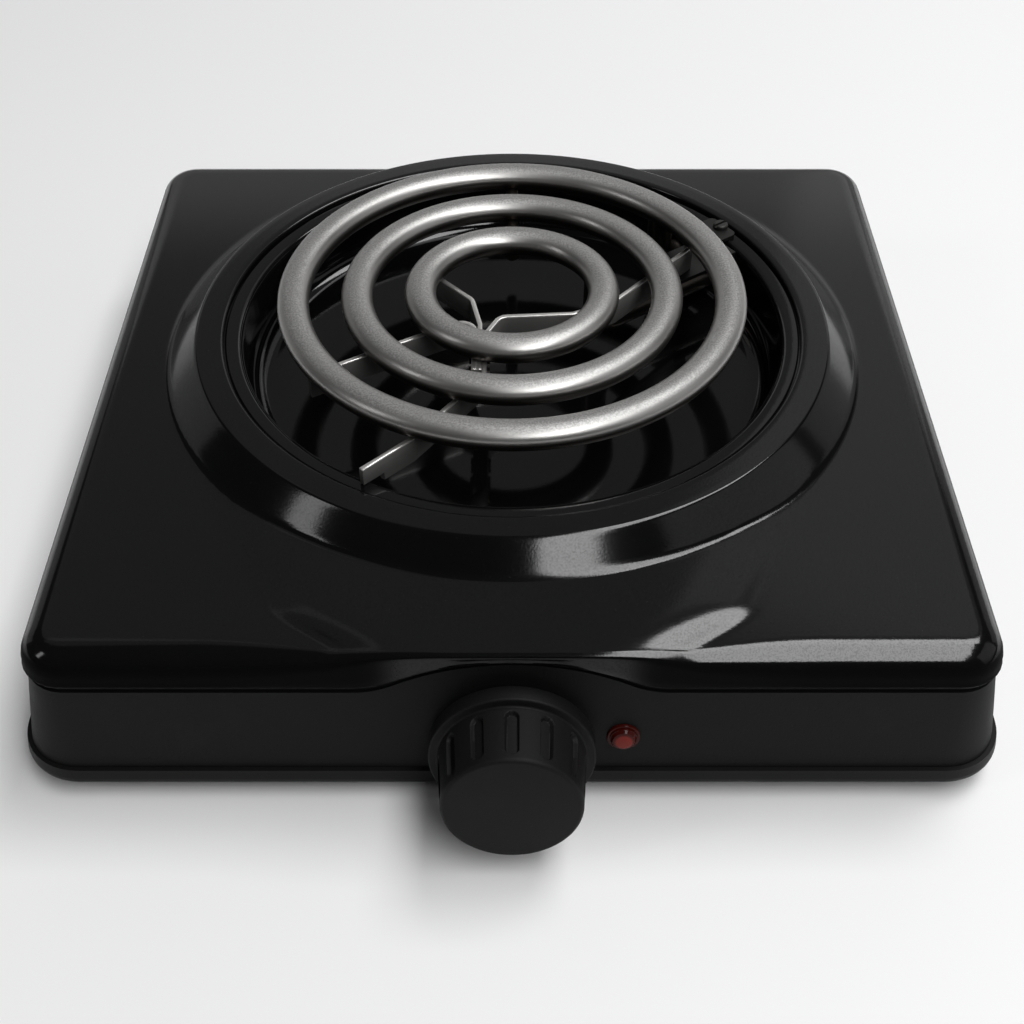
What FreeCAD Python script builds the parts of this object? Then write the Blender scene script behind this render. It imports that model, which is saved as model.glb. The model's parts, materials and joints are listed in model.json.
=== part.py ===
"""Single-coil electric hot plate, modelled piece by piece in millimetres.

The counter is z = 0, +X is the cook's right and the control knob faces -Y. The origin lies
under the middle of the box round the whole product.
"""
import FreeCAD
import Part
import math
import os

Vec = FreeCAD.Vector
UP = Vec(0, 0, 1)
ACROSS = Vec(1, 0, 0)
AHEAD = Vec(0, 1, 0)
CENTRE = Vec(0, 0, 0)

# Top panel: pressed sheet with a flat deck, a skirt and a raised ring
panel_width = 249.5
panel_depth = 236.0
panel_corner = 12.0
skirt_draft = 4.0
edge_round = 8.0
sheet = 1.0
ring_back = 11.9
ring_front = 34.1
ring_width = 8.0
dome_slope = 45.0
crest_round = 3.0
foot_round = 8.0
back_round = 4.0
rim_depth = 2.4
lip_width = 1.4

# Spout of the panel over the knob, and the arch in its skirt
spout_width = 94.0
spout_rise = 6.0
spout_lip = 9.0
saddle_width = 116.0
saddle_rise = 1.6
arch_width = 80.0
arch_rise = 9.6
arch_blend = 22.0
arch_overlap = 0.6

# Heights of the stacked shells
foot_height = 4.5
base_lip = 6.5
band_height = 30.0
skirt_height = 9.6
ring_height = 9.9

# Side band and base pan
band_inset = 1.3
band_draft = 6.0
side_draft = 11.0
band_wall = 2.0
band_tuck = 3.0
base_proud = 1.2
base_wall = 2.8
base_round = 3.0
vent_count = 7
vent_pitch = 11.0
vent_length = 46.0
vent_width = 4.5
vent_gap = 9.2

# Tie posts, their screws and the feet
post_inset = 26.0
post_radius = 5.0
rib_thickness = 2.0
rib_height = 24.0
tie_radius = 2.0
tie_head_radius = 3.6
tie_head_height = 2.2
tie_head_recess = 1.2
nut_radius = 4.2
nut_height = 4.0
foot_radius = 9.0
foot_taper = 1.2

# Drip pan
pan_flange_gap = 0.4
pan_flange = 5.5
pan_draft = 5.0
pan_depth = 18.7
pan_floor_round = 6.0
pan_lip_round = 2.0

# Heating coil: three closed rings on a link bar, with two cold ends
coil_rise = 9.1
coil_margin = 16.3
coil_pitch = 18.9
coil_turns = 3
tube_radius = 4.7
tube_flat = 3.6
link_radius = 2.0
link_angle = 90.0
lead_radius = 4.0
lead_bend = 7.0
lead_drop = 18.2
lead_spacing = 16.0
lead_tail = 1.0
bead_length = 5.0
tag_length = 7.0
tag_width = 6.3
tag_thickness = 0.8
terminal_angle = 35.5

# Spider strips under the coil
strip_thickness = 1.5
strip_bend = 4.0
strip_seat = 0.05
leg_gap = 0.1
spine_x = -8.0
spine_front = -34.0
spine_tail = 2.5
spine_starts = (-15.0, -10.0, -6.0)
arm_bend = (30.8, 1.6)
arm_waist = (18.3, -4.6)
arm_hub = (-3.6, -6.1)
strip_overhang = 2.0
knee_angle = 246.0
leg_inset = 3.0
leg_angle = 241.5
back_angle = 146.8
back_knee = (-12.1, 2.5)
left_angle = 210.4
left_knee = (-36.9, -21.2)
rivet_radius = 1.2
rivet_head = 2.2
rivet_head_height = 0.8
rivet_count = 2
rivet_pitch = 8.0

# Hinge that lets the coil tilt up
pin_radius = 1.5
pin_lead_gap = 0.3
knuckle_gap = 0.4
pin_running = 0.05
pin_head_radius = 2.4
pin_head_height = 0.8
knuckle_radius = 2.7
knuckle_width = 5.6
plate_thickness = 1.2
plate_length = 14.0
ear_thickness = 1.2
ear_gap = 0.5
ear_width = 7.0
ear_depth = 3.2
ear_round = 2.6
window_margin = 0.8
lift_angle = 20.0
tab_width = 12.0
tab_screw_radius = 1.25
tab_screw_head = 2.4
tab_screw_head_height = 1.5
tab_screw_length = 5.0
tab_screw_inset = 3.0

# Control knob and shaft
knob_height = 22.6
knob_gap = 3.0
knob_flange_radius = 21.4
knob_flange_depth = 2.9
knob_root_radius = 19.0
knob_face_radius = 17.7
knob_reach = 24.5
knob_face_round = 1.2
knob_wall = 2.4
grip_count = 13
grip_width = 3.6
grip_depth = 1.1
grip_start = 9.2
grip_end = 22.3
hub_radius = 6.0
shaft_radius = 3.0
shaft_flat = 2.2
shaft_grip = 12.0
shaft_inside = 12.0
shaft_fit = 0.05
hole_margin = 1.0

# Thermostat behind the front wall
thermostat_width = 30.0
thermostat_height = 20.0
thermostat_depth = 16.0
bracket_thickness = 1.2
bracket_height = 16.0
bracket_standoff = 4.0
bracket_reach = 16.0
nose_radius = 5.0
screw_spacing = 24.0
screw_radius = 1.5
screw_head_radius = 2.8
screw_length = 6.0
blade_width = 6.3
blade_length = 8.0
blade_spacing = 14.0

# Indicator lamp
lamp_offset = 28.7
lamp_rise = 0.25
lamp_radius = 3.6
lamp_flange_radius = 4.3
lamp_flange_depth = 0.8
lamp_dome = 2.0
lamp_dome_round = 1.8
lamp_body_length = 11.0
lamp_holder_length = 17.0
lamp_wall = 0.8
lamp_clip_radius = 6.0
lamp_clip_depth = 1.6

# Supply entry in the back wall
gland_offset = -70.0
gland_height = 23.0
gland_radius = 7.0
gland_flange_radius = 9.5
gland_flange_depth = 4.0
gland_bore = 3.7
gland_inside = 9.0
gland_nut_radius = 10.0
gland_nut_depth = 4.0

# Terminal block on the base
block_length = 34.0
block_width = 16.0
block_height = 12.0
block_ear = 9.0
block_ear_height = 4.0
block_back = 40.0
block_ways = 3
way_radius = 3.0
block_screw_radius = 1.5

fit_gap = 0.1
corner_round = 2.0
slot_width = 1.0


# Values that follow from the sizes above
base_z = foot_height
floor_z = base_z + sheet
band_z = base_z + base_lip
seam_z = band_z + band_height
deck_z = seam_z + skirt_height
ring_z = deck_z + ring_height
ledge_z = ring_z - rim_depth + sheet
pan_floor_z = ledge_z - pan_depth
coil_z = ring_z + coil_rise
lead_z = coil_z - lead_drop
shoulder_radius = (panel_depth - ring_back - ring_front) / 2
rim_radius = shoulder_radius - ring_width
pan_radius = rim_radius - pan_flange
coil_radius = pan_radius - coil_margin
inner_radius = coil_radius - (coil_turns - 1) * coil_pitch
lead_reach = rim_radius + lead_tail


def slope(degrees):
    return math.tan(math.radians(degrees))


def sine(degrees):
    return math.sin(math.radians(degrees))


def cosine(degrees):
    return math.cos(math.radians(degrees))


# The drafted front wall tilts the knob's axis, so its lowest rim reaches furthest forward
knob_front = ((knob_reach - knob_face_round) * cosine(band_draft)
              + (knob_face_radius - knob_face_round) * sine(band_draft) + knob_face_round)
gland_back = gland_flange_depth * cosine(band_draft) + gland_flange_radius * sine(band_draft)
front_reach = panel_depth / 2 - band_inset + (seam_z - knob_height) * slope(band_draft) + knob_front
back_reach = panel_depth / 2 - band_inset + (seam_z - gland_height) * slope(band_draft) + gland_back
body_y = (front_reach - back_reach) / 2
dome_y = body_y + (ring_front - ring_back) / 2
panel_front = body_y - panel_depth / 2


def level(z):
    """Lay a flat outline out at height z."""
    return lambda v: Vec(v.x, v.y, z)


def upright(v):
    """Stand a flat outline up in the XZ plane."""
    return Vec(v.x, 0, v.y)


def rounded(corners, lift):
    """Closed wire through (u, v, radius) corners, with an arc where the radius isn't 0."""
    stops = []
    for i, (u, v, radius) in enumerate(corners):
        here = Vec(u, v, 0)
        if radius == 0:
            stops.append((here, None, here))
            continue
        back = Vec(corners[i - 1][0], corners[i - 1][1], 0) - here
        ahead = Vec(corners[(i + 1) % len(corners)][0], corners[(i + 1) % len(corners)][1], 0) - here
        back.normalize()
        ahead.normalize()
        half = back.getAngle(ahead) / 2
        inward = back + ahead
        inward.normalize()
        reach = radius / math.tan(half)
        middle = here + inward * (radius / math.sin(half) - radius)
        stops.append((here + back * reach, middle, here + ahead * reach))
    edges = []
    for i, (start, middle, end) in enumerate(stops):
        if middle is not None:
            edges.append(Part.Arc(lift(start), lift(middle), lift(end)).toShape())
        following = stops[(i + 1) % len(stops)][0]
        if not following.isEqual(end, 1e-6):
            edges.append(Part.makeLine(lift(end), lift(following)))
    return Part.Wire(edges)


def sharp(points):
    return [(u, v, 0) for u, v in points]


def turned(corners):
    """Solid of revolution about the Z axis."""
    return Part.Face(rounded(corners, upright)).revolve(CENTRE, UP, 360)


def prism(corners, bottom, top):
    """Straight solid on a level outline."""
    return Part.Face(rounded(corners, level(bottom))).extrude(UP * (top - bottom))


def wall_prism(corners, start, end):
    """Straight solid along Y on an outline in the XZ plane."""
    shape = Part.Face(rounded(corners, upright)).extrude(Vec(0, end - start, 0))
    shape.translate(Vec(0, start, 0))
    return shape


def stadium(low, high, middle, width, lift):
    """Closed wire of a round-ended slot that runs from low to high along v."""
    r = width / 2
    start = low + r
    end = high - r
    points = [Vec(middle - r, end, 0), Vec(middle - r, start, 0), Vec(middle, low, 0),
              Vec(middle + r, start, 0), Vec(middle + r, end, 0), Vec(middle, high, 0)]
    left, foot_left, foot, foot_right, right, head = [lift(point) for point in points]
    return Part.Wire([Part.makeLine(left, foot_left), Part.Arc(foot_left, foot, foot_right).toShape(),
                      Part.makeLine(foot_right, right), Part.Arc(right, head, left).toShape()])


def hexagon(radius):
    return [(radius * cosine(angle), radius * sine(angle), 0) for angle in range(0, 360, 60)]


def rod(radius, start, end, axis):
    """Round bar from start to end along an axis through the origin."""
    return Part.makeCylinder(radius, end - start, axis * start, axis)


def box(low, high):
    return Part.makeBox(high[0] - low[0], high[1] - low[1], high[2] - low[2], Vec(*low))


def outline(width, depth, corner, z):
    """Rounded rectangle about the body's middle."""
    x = width / 2
    y = depth / 2
    corners = [(x, body_y + y, corner), (-x, body_y + y, corner),
               (-x, body_y - y, corner), (x, body_y - y, corner)]
    return rounded(corners, level(z))


def drafted(inset, bottom, top, draft, side):
    """Body-shaped block, inset from the panel's outline at the seam, leaning in with height."""
    wires = []
    for z in (bottom, top):
        x = inset + (z - seam_z) * slope(side)
        y = inset + (z - seam_z) * slope(draft)
        wires.append(outline(panel_width - 2 * x, panel_depth - 2 * y, panel_corner - (x + y) / 2, z))
    return Part.makeLoft(wires, True, True)


def pressed(inset, bottom, top):
    """Block that fits inside the panel's skirt."""
    return drafted(inset, bottom, top, skirt_draft, skirt_draft)


def moulded(inset, bottom, top):
    """Block that fits inside the band, whose walls flare downwards."""
    return drafted(inset, bottom, top, band_draft, side_draft)


def rim_edges(shape, z):
    """Edges that lie wholly at one height."""
    return [edge for edge in shape.Edges if all(abs(vertex.Z - z) < 1e-4 for vertex in edge.Vertexes)]


# Top panel
def dome_form(skin, low):
    """Raised ring whose flank flares onto the flat deck and runs down into the back skirt."""
    turn = slope(dome_slope / 2)
    top = ring_z - skin
    deck = deck_z - skin
    shoulder = shoulder_radius - skin * turn
    foot = shoulder + (top - deck) / slope(dome_slope)
    toe = foot + (foot_round + skin) * turn
    spread = shoulder + (top - low) / slope(dome_slope)
    crest = [(0, low, 0), (0, top, 0), (shoulder, top, crest_round - skin)]
    flank = turned(crest + [(spread, low, 0)])
    flare = turned(crest + [(foot, deck, foot_round + skin), (toe, deck, 0), (toe, low, 0)])
    for shape in (flank, flare):
        shape.translate(Vec(0, dome_y, 0))
    flank = flank.common(pressed(skin, low, ring_z))
    back = [edge for edge in flank.Edges
            if edge.BoundBox.YMin > dome_y + shoulder_radius and edge.BoundBox.ZLength > sheet]
    flank = flank.makeFillet(back_round - skin, back)
    return flank.fuse(flare.common(pressed(edge_round, low, ring_z)))


def spout_form(skin, low):
    """Saddle between the ring's foot and a raised lip at the front edge."""
    dome_front = dome_y - shoulder_radius - ring_height / slope(dome_slope)
    deck = deck_z - skin
    stations = [(dome_y - rim_radius * cosine(dome_slope), 2 * rim_radius, saddle_rise / 2),
                (dome_front - foot_round, saddle_width, saddle_rise),
                (panel_front + spout_lip, spout_width, spout_rise),
                (panel_front - spout_lip, spout_width, spout_rise)]
    wires = []
    for y, width, rise in stations:
        arc = Part.Arc(Vec(-width / 2, y, deck), Vec(0, y, deck + rise), Vec(width / 2, y, deck)).toShape()
        sides = Part.makePolygon([Vec(width / 2, y, deck), Vec(width / 2, y, low),
                                  Vec(-width / 2, y, low), Vec(-width / 2, y, deck)])
        wires.append(Part.Wire([arc] + sides.Edges))
    spout = Part.makeLoft(wires, True, True).common(pressed(skin, low, ring_z))
    front = [edge for edge in spout.Edges if edge.BoundBox.YMax < panel_front + sheet + edge_round / 2
             and edge.BoundBox.ZMin > deck - sheet and edge.BoundBox.XLength > spout_width / 2]
    return spout.makeFillet(edge_round - skin, front)


def panel_form(skin, low):
    """The panel's outer shape, a skin's depth below its visible face."""
    slab = pressed(skin, low, deck_z - skin)
    slab = slab.makeFillet(edge_round - skin, rim_edges(slab, deck_z - skin))
    return slab.fuse([dome_form(skin, low), spout_form(skin, low)])


def arch_corners(lift):
    """Outline of the front arch, raised by lift, open downwards."""
    half = arch_width / 2
    crown = (half ** 2 + arch_rise ** 2) / (2 * arch_rise) - arch_blend
    toe = half - arch_blend * arch_rise / half
    foot = seam_z + lift
    crest = foot + toe * math.tan(2 * math.atan(arch_rise / half))
    side = half + arch_blend
    low = seam_z - band_height / 2
    return [(-side, low, 0), (-side, foot, 0), (-toe, foot, arch_blend), (0, crest, crown),
            (toe, foot, arch_blend), (side, foot, 0), (side, low, 0)]


def top_panel():
    low = seam_z - 2 * sheet
    lip_radius = rim_radius - lip_width
    shell = panel_form(0, low).cut(panel_form(sheet, low - sheet))
    collar = turned(sharp([(lip_radius, ring_z - rim_depth), (lip_radius, ring_z - rim_depth - sheet),
                           (rim_radius + sheet, ring_z - rim_depth - sheet),
                           (rim_radius + sheet, ring_z - sheet / 2),
                           (rim_radius, ring_z - sheet / 2),
                           (rim_radius, ring_z - rim_depth)]))
    opening = rod(rim_radius, low - 2 * sheet, ring_z + sheet, UP)
    for shape in (collar, opening):
        shape.translate(Vec(0, dome_y, 0))
    trim = box((-panel_width, -panel_depth, low - 2 * sheet), (panel_width, panel_depth, seam_z))
    arch = wall_prism(arch_corners(0), panel_front - spout_lip, panel_front + spout_lip + edge_round)
    return shell.cut([opening, trim, arch]).fuse(collar).removeSplitter()


# Side band
def front_y(z):
    """Outer face of the band's front wall at height z."""
    return body_y - panel_depth / 2 + band_inset - (seam_z - z) * slope(band_draft)


def back_y(z):
    """Outer face of the band's back wall at height z."""
    return body_y + panel_depth / 2 - band_inset + (seam_z - z) * slope(band_draft)


def on_front(shape, x, z):
    """Set a piece modelled on a wall at y = 0, facing -Y, onto the drafted front wall."""
    shape.rotate(CENTRE, ACROSS, -band_draft)
    shape.translate(Vec(x, front_y(z), z))
    return shape


def on_back(shape, x, z):
    """Set a piece modelled on a wall at y = 0, facing +Y, onto the drafted back wall."""
    shape.rotate(CENTRE, ACROSS, band_draft)
    shape.translate(Vec(x, back_y(z), z))
    return shape


lamp_z = knob_height + lamp_rise
shaft_hole = shaft_radius + hole_margin


def post_places():
    x = panel_width / 2 - post_inset
    y = panel_depth / 2 - post_inset
    return [Vec(sx * x, body_y + sy * y, 0) for sx in (-1, 1) for sy in (-1, 1)]


def at_posts(shape):
    """One copy of a piece at each tie post."""
    copies = []
    for place in post_places():
        copy = shape.copy()
        copy.translate(place)
        copies.append(copy)
    return Part.makeCompound(copies)


def screw_form(slack, x):
    """Countersunk screw, its head flush with a wall at y = 0."""
    flare = screw_head_radius - screw_radius
    shape = turned(sharp([(0, 0), (screw_head_radius + slack, 0), (screw_radius + slack, -flare),
                          (screw_radius + slack, -screw_length), (0, -screw_length)]))
    shape.rotate(CENTRE, ACROSS, 90)
    shape.translate(Vec(x, 0, 0))
    return shape


def side_band():
    top = seam_z + band_tuck
    hump_top = seam_z + arch_rise + arch_overlap + band_tuck
    outer = moulded(band_inset, band_z, top)
    inner = moulded(band_inset + band_wall, band_z - sheet, top + sheet)
    tall = moulded(band_inset, band_z, hump_top)
    tall = tall.cut(moulded(band_inset + band_wall, band_z - sheet, hump_top + sheet))
    hump = wall_prism(arch_corners(arch_overlap), front_y(band_z) - sheet, front_y(hump_top) + 2 * band_wall)
    band = outer.cut(inner).fuse(tall.common(hump))
    post_top = deck_z - sheet - nut_height
    room = moulded(band_inset + band_wall / 2, band_z, top)
    for place in post_places():
        side = math.copysign(1, place.x)
        end = math.copysign(1, place.y - body_y)
        post = rod(post_radius, floor_z, post_top, UP)
        post.translate(place)
        wall_x = side * panel_width
        wall_y = body_y + end * panel_depth
        rib_x = box((min(place.x, wall_x), place.y - rib_thickness / 2, band_z),
                    (max(place.x, wall_x), place.y + rib_thickness / 2, band_z + rib_height))
        rib_y = box((place.x - rib_thickness / 2, min(place.y, wall_y), band_z),
                    (place.x + rib_thickness / 2, max(place.y, wall_y), band_z + rib_height))
        bore = rod(tie_radius + fit_gap, floor_z - sheet, post_top + sheet, UP)
        bore.translate(place)
        band = band.fuse([post, rib_x.common(room), rib_y.common(room)]).cut(bore)
    reach = 2 * band_wall
    holes = [on_front(rod(shaft_hole, -reach, reach, AHEAD), 0, knob_height),
             on_front(rod(lamp_radius + fit_gap, -reach, reach, AHEAD), lamp_offset, lamp_z),
             on_back(rod(gland_radius + fit_gap, -reach, reach, AHEAD), gland_offset, gland_height)]
    for x in (-screw_spacing / 2, screw_spacing / 2):
        holes.append(on_front(screw_form(fit_gap, x), 0, knob_height))
    return band.cut(holes).removeSplitter()


# Base pan, feet and tie screws
def base_pan():
    shape = moulded(band_inset - base_proud, base_z, band_z)
    shape = shape.makeFillet(base_round, rim_edges(shape, base_z))
    hollow = moulded(band_inset - base_proud + base_wall, floor_z, band_z + sheet)
    cuts = [hollow]
    for k in range(vent_count):
        y = dome_y + (k - (vent_count - 1) / 2) * vent_pitch
        for low in (-vent_gap / 2 - vent_length, vent_gap / 2):
            wire = stadium(low, low + vent_length, y, vent_width, lambda v: Vec(v.y, v.x, base_z - sheet))
            cuts.append(Part.Face(wire).extrude(UP * 3 * sheet))
    shape = shape.cut(cuts)
    bolts = at_posts(rod(tie_radius + fit_gap, base_z - sheet, floor_z + sheet, UP))
    return shape.cut([bolts, block_screw_hole()])


def feet():
    seat = tie_head_recess + tie_head_height
    foot = turned(sharp([(0, 0), (foot_radius - foot_taper, 0),
                         (foot_radius, foot_height), (0, foot_height)]))
    recess = rod(tie_head_radius + fit_gap, -sheet, seat, UP)
    bore = rod(tie_radius + fit_gap, 0, foot_height + sheet, UP)
    return at_posts(foot.cut([recess, bore]))


def tie_screws():
    seat = tie_head_recess + tie_head_height
    head = rod(tie_head_radius, tie_head_recess, seat, UP)
    slot = box((-tie_head_radius, -slot_width / 2, 0),
               (tie_head_radius, slot_width / 2, tie_head_recess + tie_head_height / 2))
    shank = rod(tie_radius, seat, deck_z - sheet - nut_height / 4, UP)
    return at_posts(head.cut(slot).fuse(shank))


def weld_nuts():
    """Hexagonal nuts on the deck's underside, over the posts."""
    nut = prism(hexagon(nut_radius), deck_z - sheet - nut_height, deck_z - sheet)
    bore = rod(tie_radius + fit_gap, deck_z - sheet - nut_height - sheet, deck_z - sheet, UP)
    return at_posts(nut.cut(bore))


# Drip pan
def coil_frame(shape):
    """Turn a piece whose +X points at the coil's terminals, and set it on the coil's axis."""
    shape.rotate(CENTRE, UP, terminal_angle)
    shape.translate(Vec(0, dome_y, 0))
    return shape


ear_y = lead_spacing / 2 + lead_radius + ear_gap
back_x = math.sqrt((pan_radius - pan_lip_round) ** 2 - (ear_y + ear_thickness) ** 2)
pin_x = back_x - ear_thickness - knuckle_gap - knuckle_radius
pin_z = lead_z + lead_radius + pin_lead_gap + pin_radius


def lead_window():
    """Room in the pan's wall for the cold ends at every tilt."""
    arm = pan_radius + sheet - pin_x
    drop = pin_z - lead_z
    tilted = (arm + drop * sine(lift_angle)) * slope(lift_angle) + drop * cosine(lift_angle)
    bottom = pin_z - tilted - lead_radius / cosine(lift_angle) - window_margin
    half = lead_spacing / 2 + lead_radius + window_margin
    return coil_frame(box((pin_x, -half, bottom), (rim_radius, half, lead_z + lead_radius + window_margin)))


def drip_pan():
    rim = rim_radius - pan_flange_gap
    drop = pan_depth * slope(pan_draft)
    bottom = pan_floor_z - sheet
    outer = turned([(0, bottom, 0), (pan_radius + sheet - drop, bottom, pan_floor_round + sheet),
                    (pan_radius + sheet, ledge_z - sheet, 0), (rim, ledge_z - sheet, 0),
                    (rim, ledge_z, 0), (0, ledge_z, 0)])
    inner = turned([(0, pan_floor_z, 0), (pan_radius - drop, pan_floor_z, pan_floor_round),
                    (pan_radius, ledge_z, pan_lip_round), (rim - sheet / 2, ledge_z, 0),
                    (rim - sheet / 2, ledge_z + sheet, 0), (0, ledge_z + sheet, 0)])
    pan = outer.cut(inner)
    pan.translate(Vec(0, dome_y, 0))
    hole = rod(tab_screw_radius, ledge_z - tab_screw_length, ledge_z + sheet, UP)
    hole.translate(Vec(rim_radius - tab_screw_inset, 0, 0))
    return pan.cut([lead_window(), coil_frame(hole)])


# Heating coil
def on_turn(radius, angle):
    return Vec(radius * cosine(angle), radius * sine(angle), 0)


def ring(radius):
    """Closed ring of tube with a flattened top."""
    half = math.sqrt(tube_radius ** 2 - tube_flat ** 2)
    outer = Vec(radius + half, 0, coil_z + tube_flat)
    inner = Vec(radius - half, 0, coil_z + tube_flat)
    arc = Part.Arc(outer, Vec(radius, 0, coil_z - tube_radius), inner).toShape()
    return Part.Face(Part.Wire([arc, Part.makeLine(inner, outer)])).revolve(CENTRE, UP, 360)


def cold_end(radius, y):
    """Lead that bends up into a ring from below."""
    x = math.sqrt(radius ** 2 - y ** 2)
    corner = x + lead_bend
    run = rod(lead_radius, corner, lead_reach, ACROSS)
    run.translate(Vec(0, y, lead_z))
    section = Part.Face(Part.Wire(Part.makeCircle(lead_radius, Vec(corner, y, lead_z), ACROSS)))
    bend = section.revolve(Vec(corner, y, lead_z + lead_bend), AHEAD, 90)
    leg = rod(lead_radius, lead_z + lead_bend, coil_z, UP)
    leg.translate(Vec(x, y, 0))
    return run.fuse([bend, leg])


def heating_coil():
    """Rings joined by a link bar under them, fed by the outer and the inner ring."""
    link = rod(link_radius, inner_radius - link_radius, coil_radius + link_radius, ACROSS)
    link.rotate(CENTRE, UP, link_angle - terminal_angle)
    link.translate(Vec(0, 0, coil_z - tube_radius))
    parts = [ring(coil_radius - turn * coil_pitch) for turn in range(1, coil_turns)]
    parts += [link, cold_end(coil_radius, lead_spacing / 2), cold_end(inner_radius, -lead_spacing / 2)]
    return coil_frame(ring(coil_radius).fuse(parts))


def lead_beads():
    """Ceramic beads on the coil's cold ends."""
    tip = lead_reach + bead_length
    beads = []
    for y in (-lead_spacing / 2, lead_spacing / 2):
        bead = turned([(0, lead_reach, 0), (lead_radius, lead_reach, 0),
                       (lead_radius, tip, lead_radius / 4), (0, tip, 0)])
        bead.rotate(CENTRE, AHEAD, 90)
        bead.translate(Vec(0, y, lead_z))
        beads.append(bead)
    return coil_frame(Part.makeCompound(beads))


def lead_tags():
    """Flat push-on tags beyond the beads."""
    start = lead_reach + bead_length
    tags = []
    for y in (-lead_spacing / 2, lead_spacing / 2):
        half = tag_width / 2
        tag = prism([(start, y - half, 0), (start + tag_length, y - half, half / 3),
                     (start + tag_length, y + half, half / 3), (start, y + half, 0)],
                    lead_z - tag_thickness / 2, lead_z + tag_thickness / 2)
        tags.append(tag)
    return coil_frame(Part.makeCompound(tags))


# Spider
strip_top = coil_z - tube_radius - strip_seat
strip_bottom = lead_z + lead_radius + strip_seat + plate_thickness
plate_end = pin_x - knuckle_radius - ear_gap


def strip(path):
    """Bent sheet strip standing on edge along a path about the coil's axis."""
    half = strip_thickness / 2
    points = [Vec(x, y, 0) for x, y in path]
    left = []
    right = []
    for i, here in enumerate(points):
        before = here - points[i - 1] if i else points[1] - here
        after = points[i + 1] - here if i + 1 < len(points) else before
        before = Vec(before).normalize()
        after = Vec(after).normalize()
        normal = UP.cross(before)
        mitre = (normal + UP.cross(after)).normalize()
        offset = mitre * (half / mitre.dot(normal))
        bent = 0 < i < len(points) - 1
        turn = math.copysign(half, before.cross(after).z)
        left.append((here.x + offset.x, here.y + offset.y, strip_bend - turn if bent else 0))
        right.append((here.x - offset.x, here.y - offset.y, strip_bend + turn if bent else 0))
    shape = prism(left + right[::-1], strip_bottom, strip_top)
    shape.translate(Vec(0, dome_y, 0))
    return shape


def spine(layer):
    """The run towards the front that the strips share, each in its own layer."""
    x = spine_x - layer * strip_thickness
    end = spine_front + spine_tail if layer else spine_front
    return [(x, spine_starts[layer]), (x, end)]


def spider_main_strip():
    """Arm to the hinge, spine, and the leg that stands on the pan's ledge."""
    seat = Vec(plate_end - plate_length / 2, -lead_spacing / 2, 0)
    seat = FreeCAD.Rotation(UP, terminal_angle).multVec(seat)
    knee = on_turn(coil_radius + strip_overhang, knee_angle)
    toe = on_turn(rim_radius - leg_inset, leg_angle)
    path = [(seat.x, seat.y), arm_bend, arm_waist, arm_hub] + spine(0) + [(knee.x, knee.y), (toe.x, toe.y)]
    inside = pan_radius - 2 * pan_lip_round
    notch = turned(sharp([(inside, pan_floor_z), (rim_radius, pan_floor_z),
                          (rim_radius, ledge_z + leg_gap), (inside, ledge_z + leg_gap)]))
    notch.translate(Vec(0, dome_y, 0))
    return drilled(strip(path).cut(notch))


def spider_back_strip():
    """Short arm to the back of the inner turn."""
    tip = on_turn(inner_radius + strip_overhang, back_angle)
    return drilled(strip([(tip.x, tip.y), back_knee] + spine(1)))


def spider_left_strip():
    """Arm to the left of the outer turn."""
    tip = on_turn(coil_radius + strip_overhang, left_angle)
    return drilled(strip([(tip.x, tip.y), left_knee] + spine(2)))


def rivet_places():
    middle = (strip_top + strip_bottom) / 2
    first = dome_y + (spine_starts[0] + spine_front - (rivet_count - 1) * rivet_pitch) / 2
    return [Vec(0, first + k * rivet_pitch, middle) for k in range(rivet_count)]


def rivet_rods(radius, start, end):
    rods = []
    for place in rivet_places():
        bar = rod(radius, start, end, ACROSS)
        bar.translate(place)
        rods.append(bar)
    return rods


def drilled(shape):
    left = spine_x - len(spine_starts) * strip_thickness
    return shape.cut(rivet_rods(rivet_radius, left, spine_x + strip_thickness))


def spider_rivets():
    """Two rivets through the three layers of the spine."""
    right = spine_x + strip_thickness / 2
    left = right - len(spine_starts) * strip_thickness
    shanks = rivet_rods(rivet_radius, left, right)
    heads = rivet_rods(rivet_head, right, right + rivet_head_height)
    tails = rivet_rods(rivet_head, left - rivet_head_height, left)
    return Part.makeCompound([a.fuse([b, c]) for a, b, c in zip(shanks, heads, tails)])


# Hinge
def coil_bracket():
    """Plate on the return lead, with a knuckle round the hinge pin."""
    bottom = lead_z + lead_radius + strip_seat
    top = bottom + plate_thickness
    half = knuckle_width / 2
    plate = box((plate_end - plate_length, -lead_spacing / 2 - lead_radius, bottom), (plate_end, half, top))
    neck = box((plate_end, -half, bottom), (pin_x, half, top))
    knuckle = rod(knuckle_radius, -half, half, AHEAD)
    bore = rod(pin_radius + pin_running, -half - sheet, half + sheet, AHEAD)
    for shape in (knuckle, bore):
        shape.translate(Vec(pin_x, 0, pin_z))
    return coil_frame(plate.fuse([neck, knuckle]).cut(bore))


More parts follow.
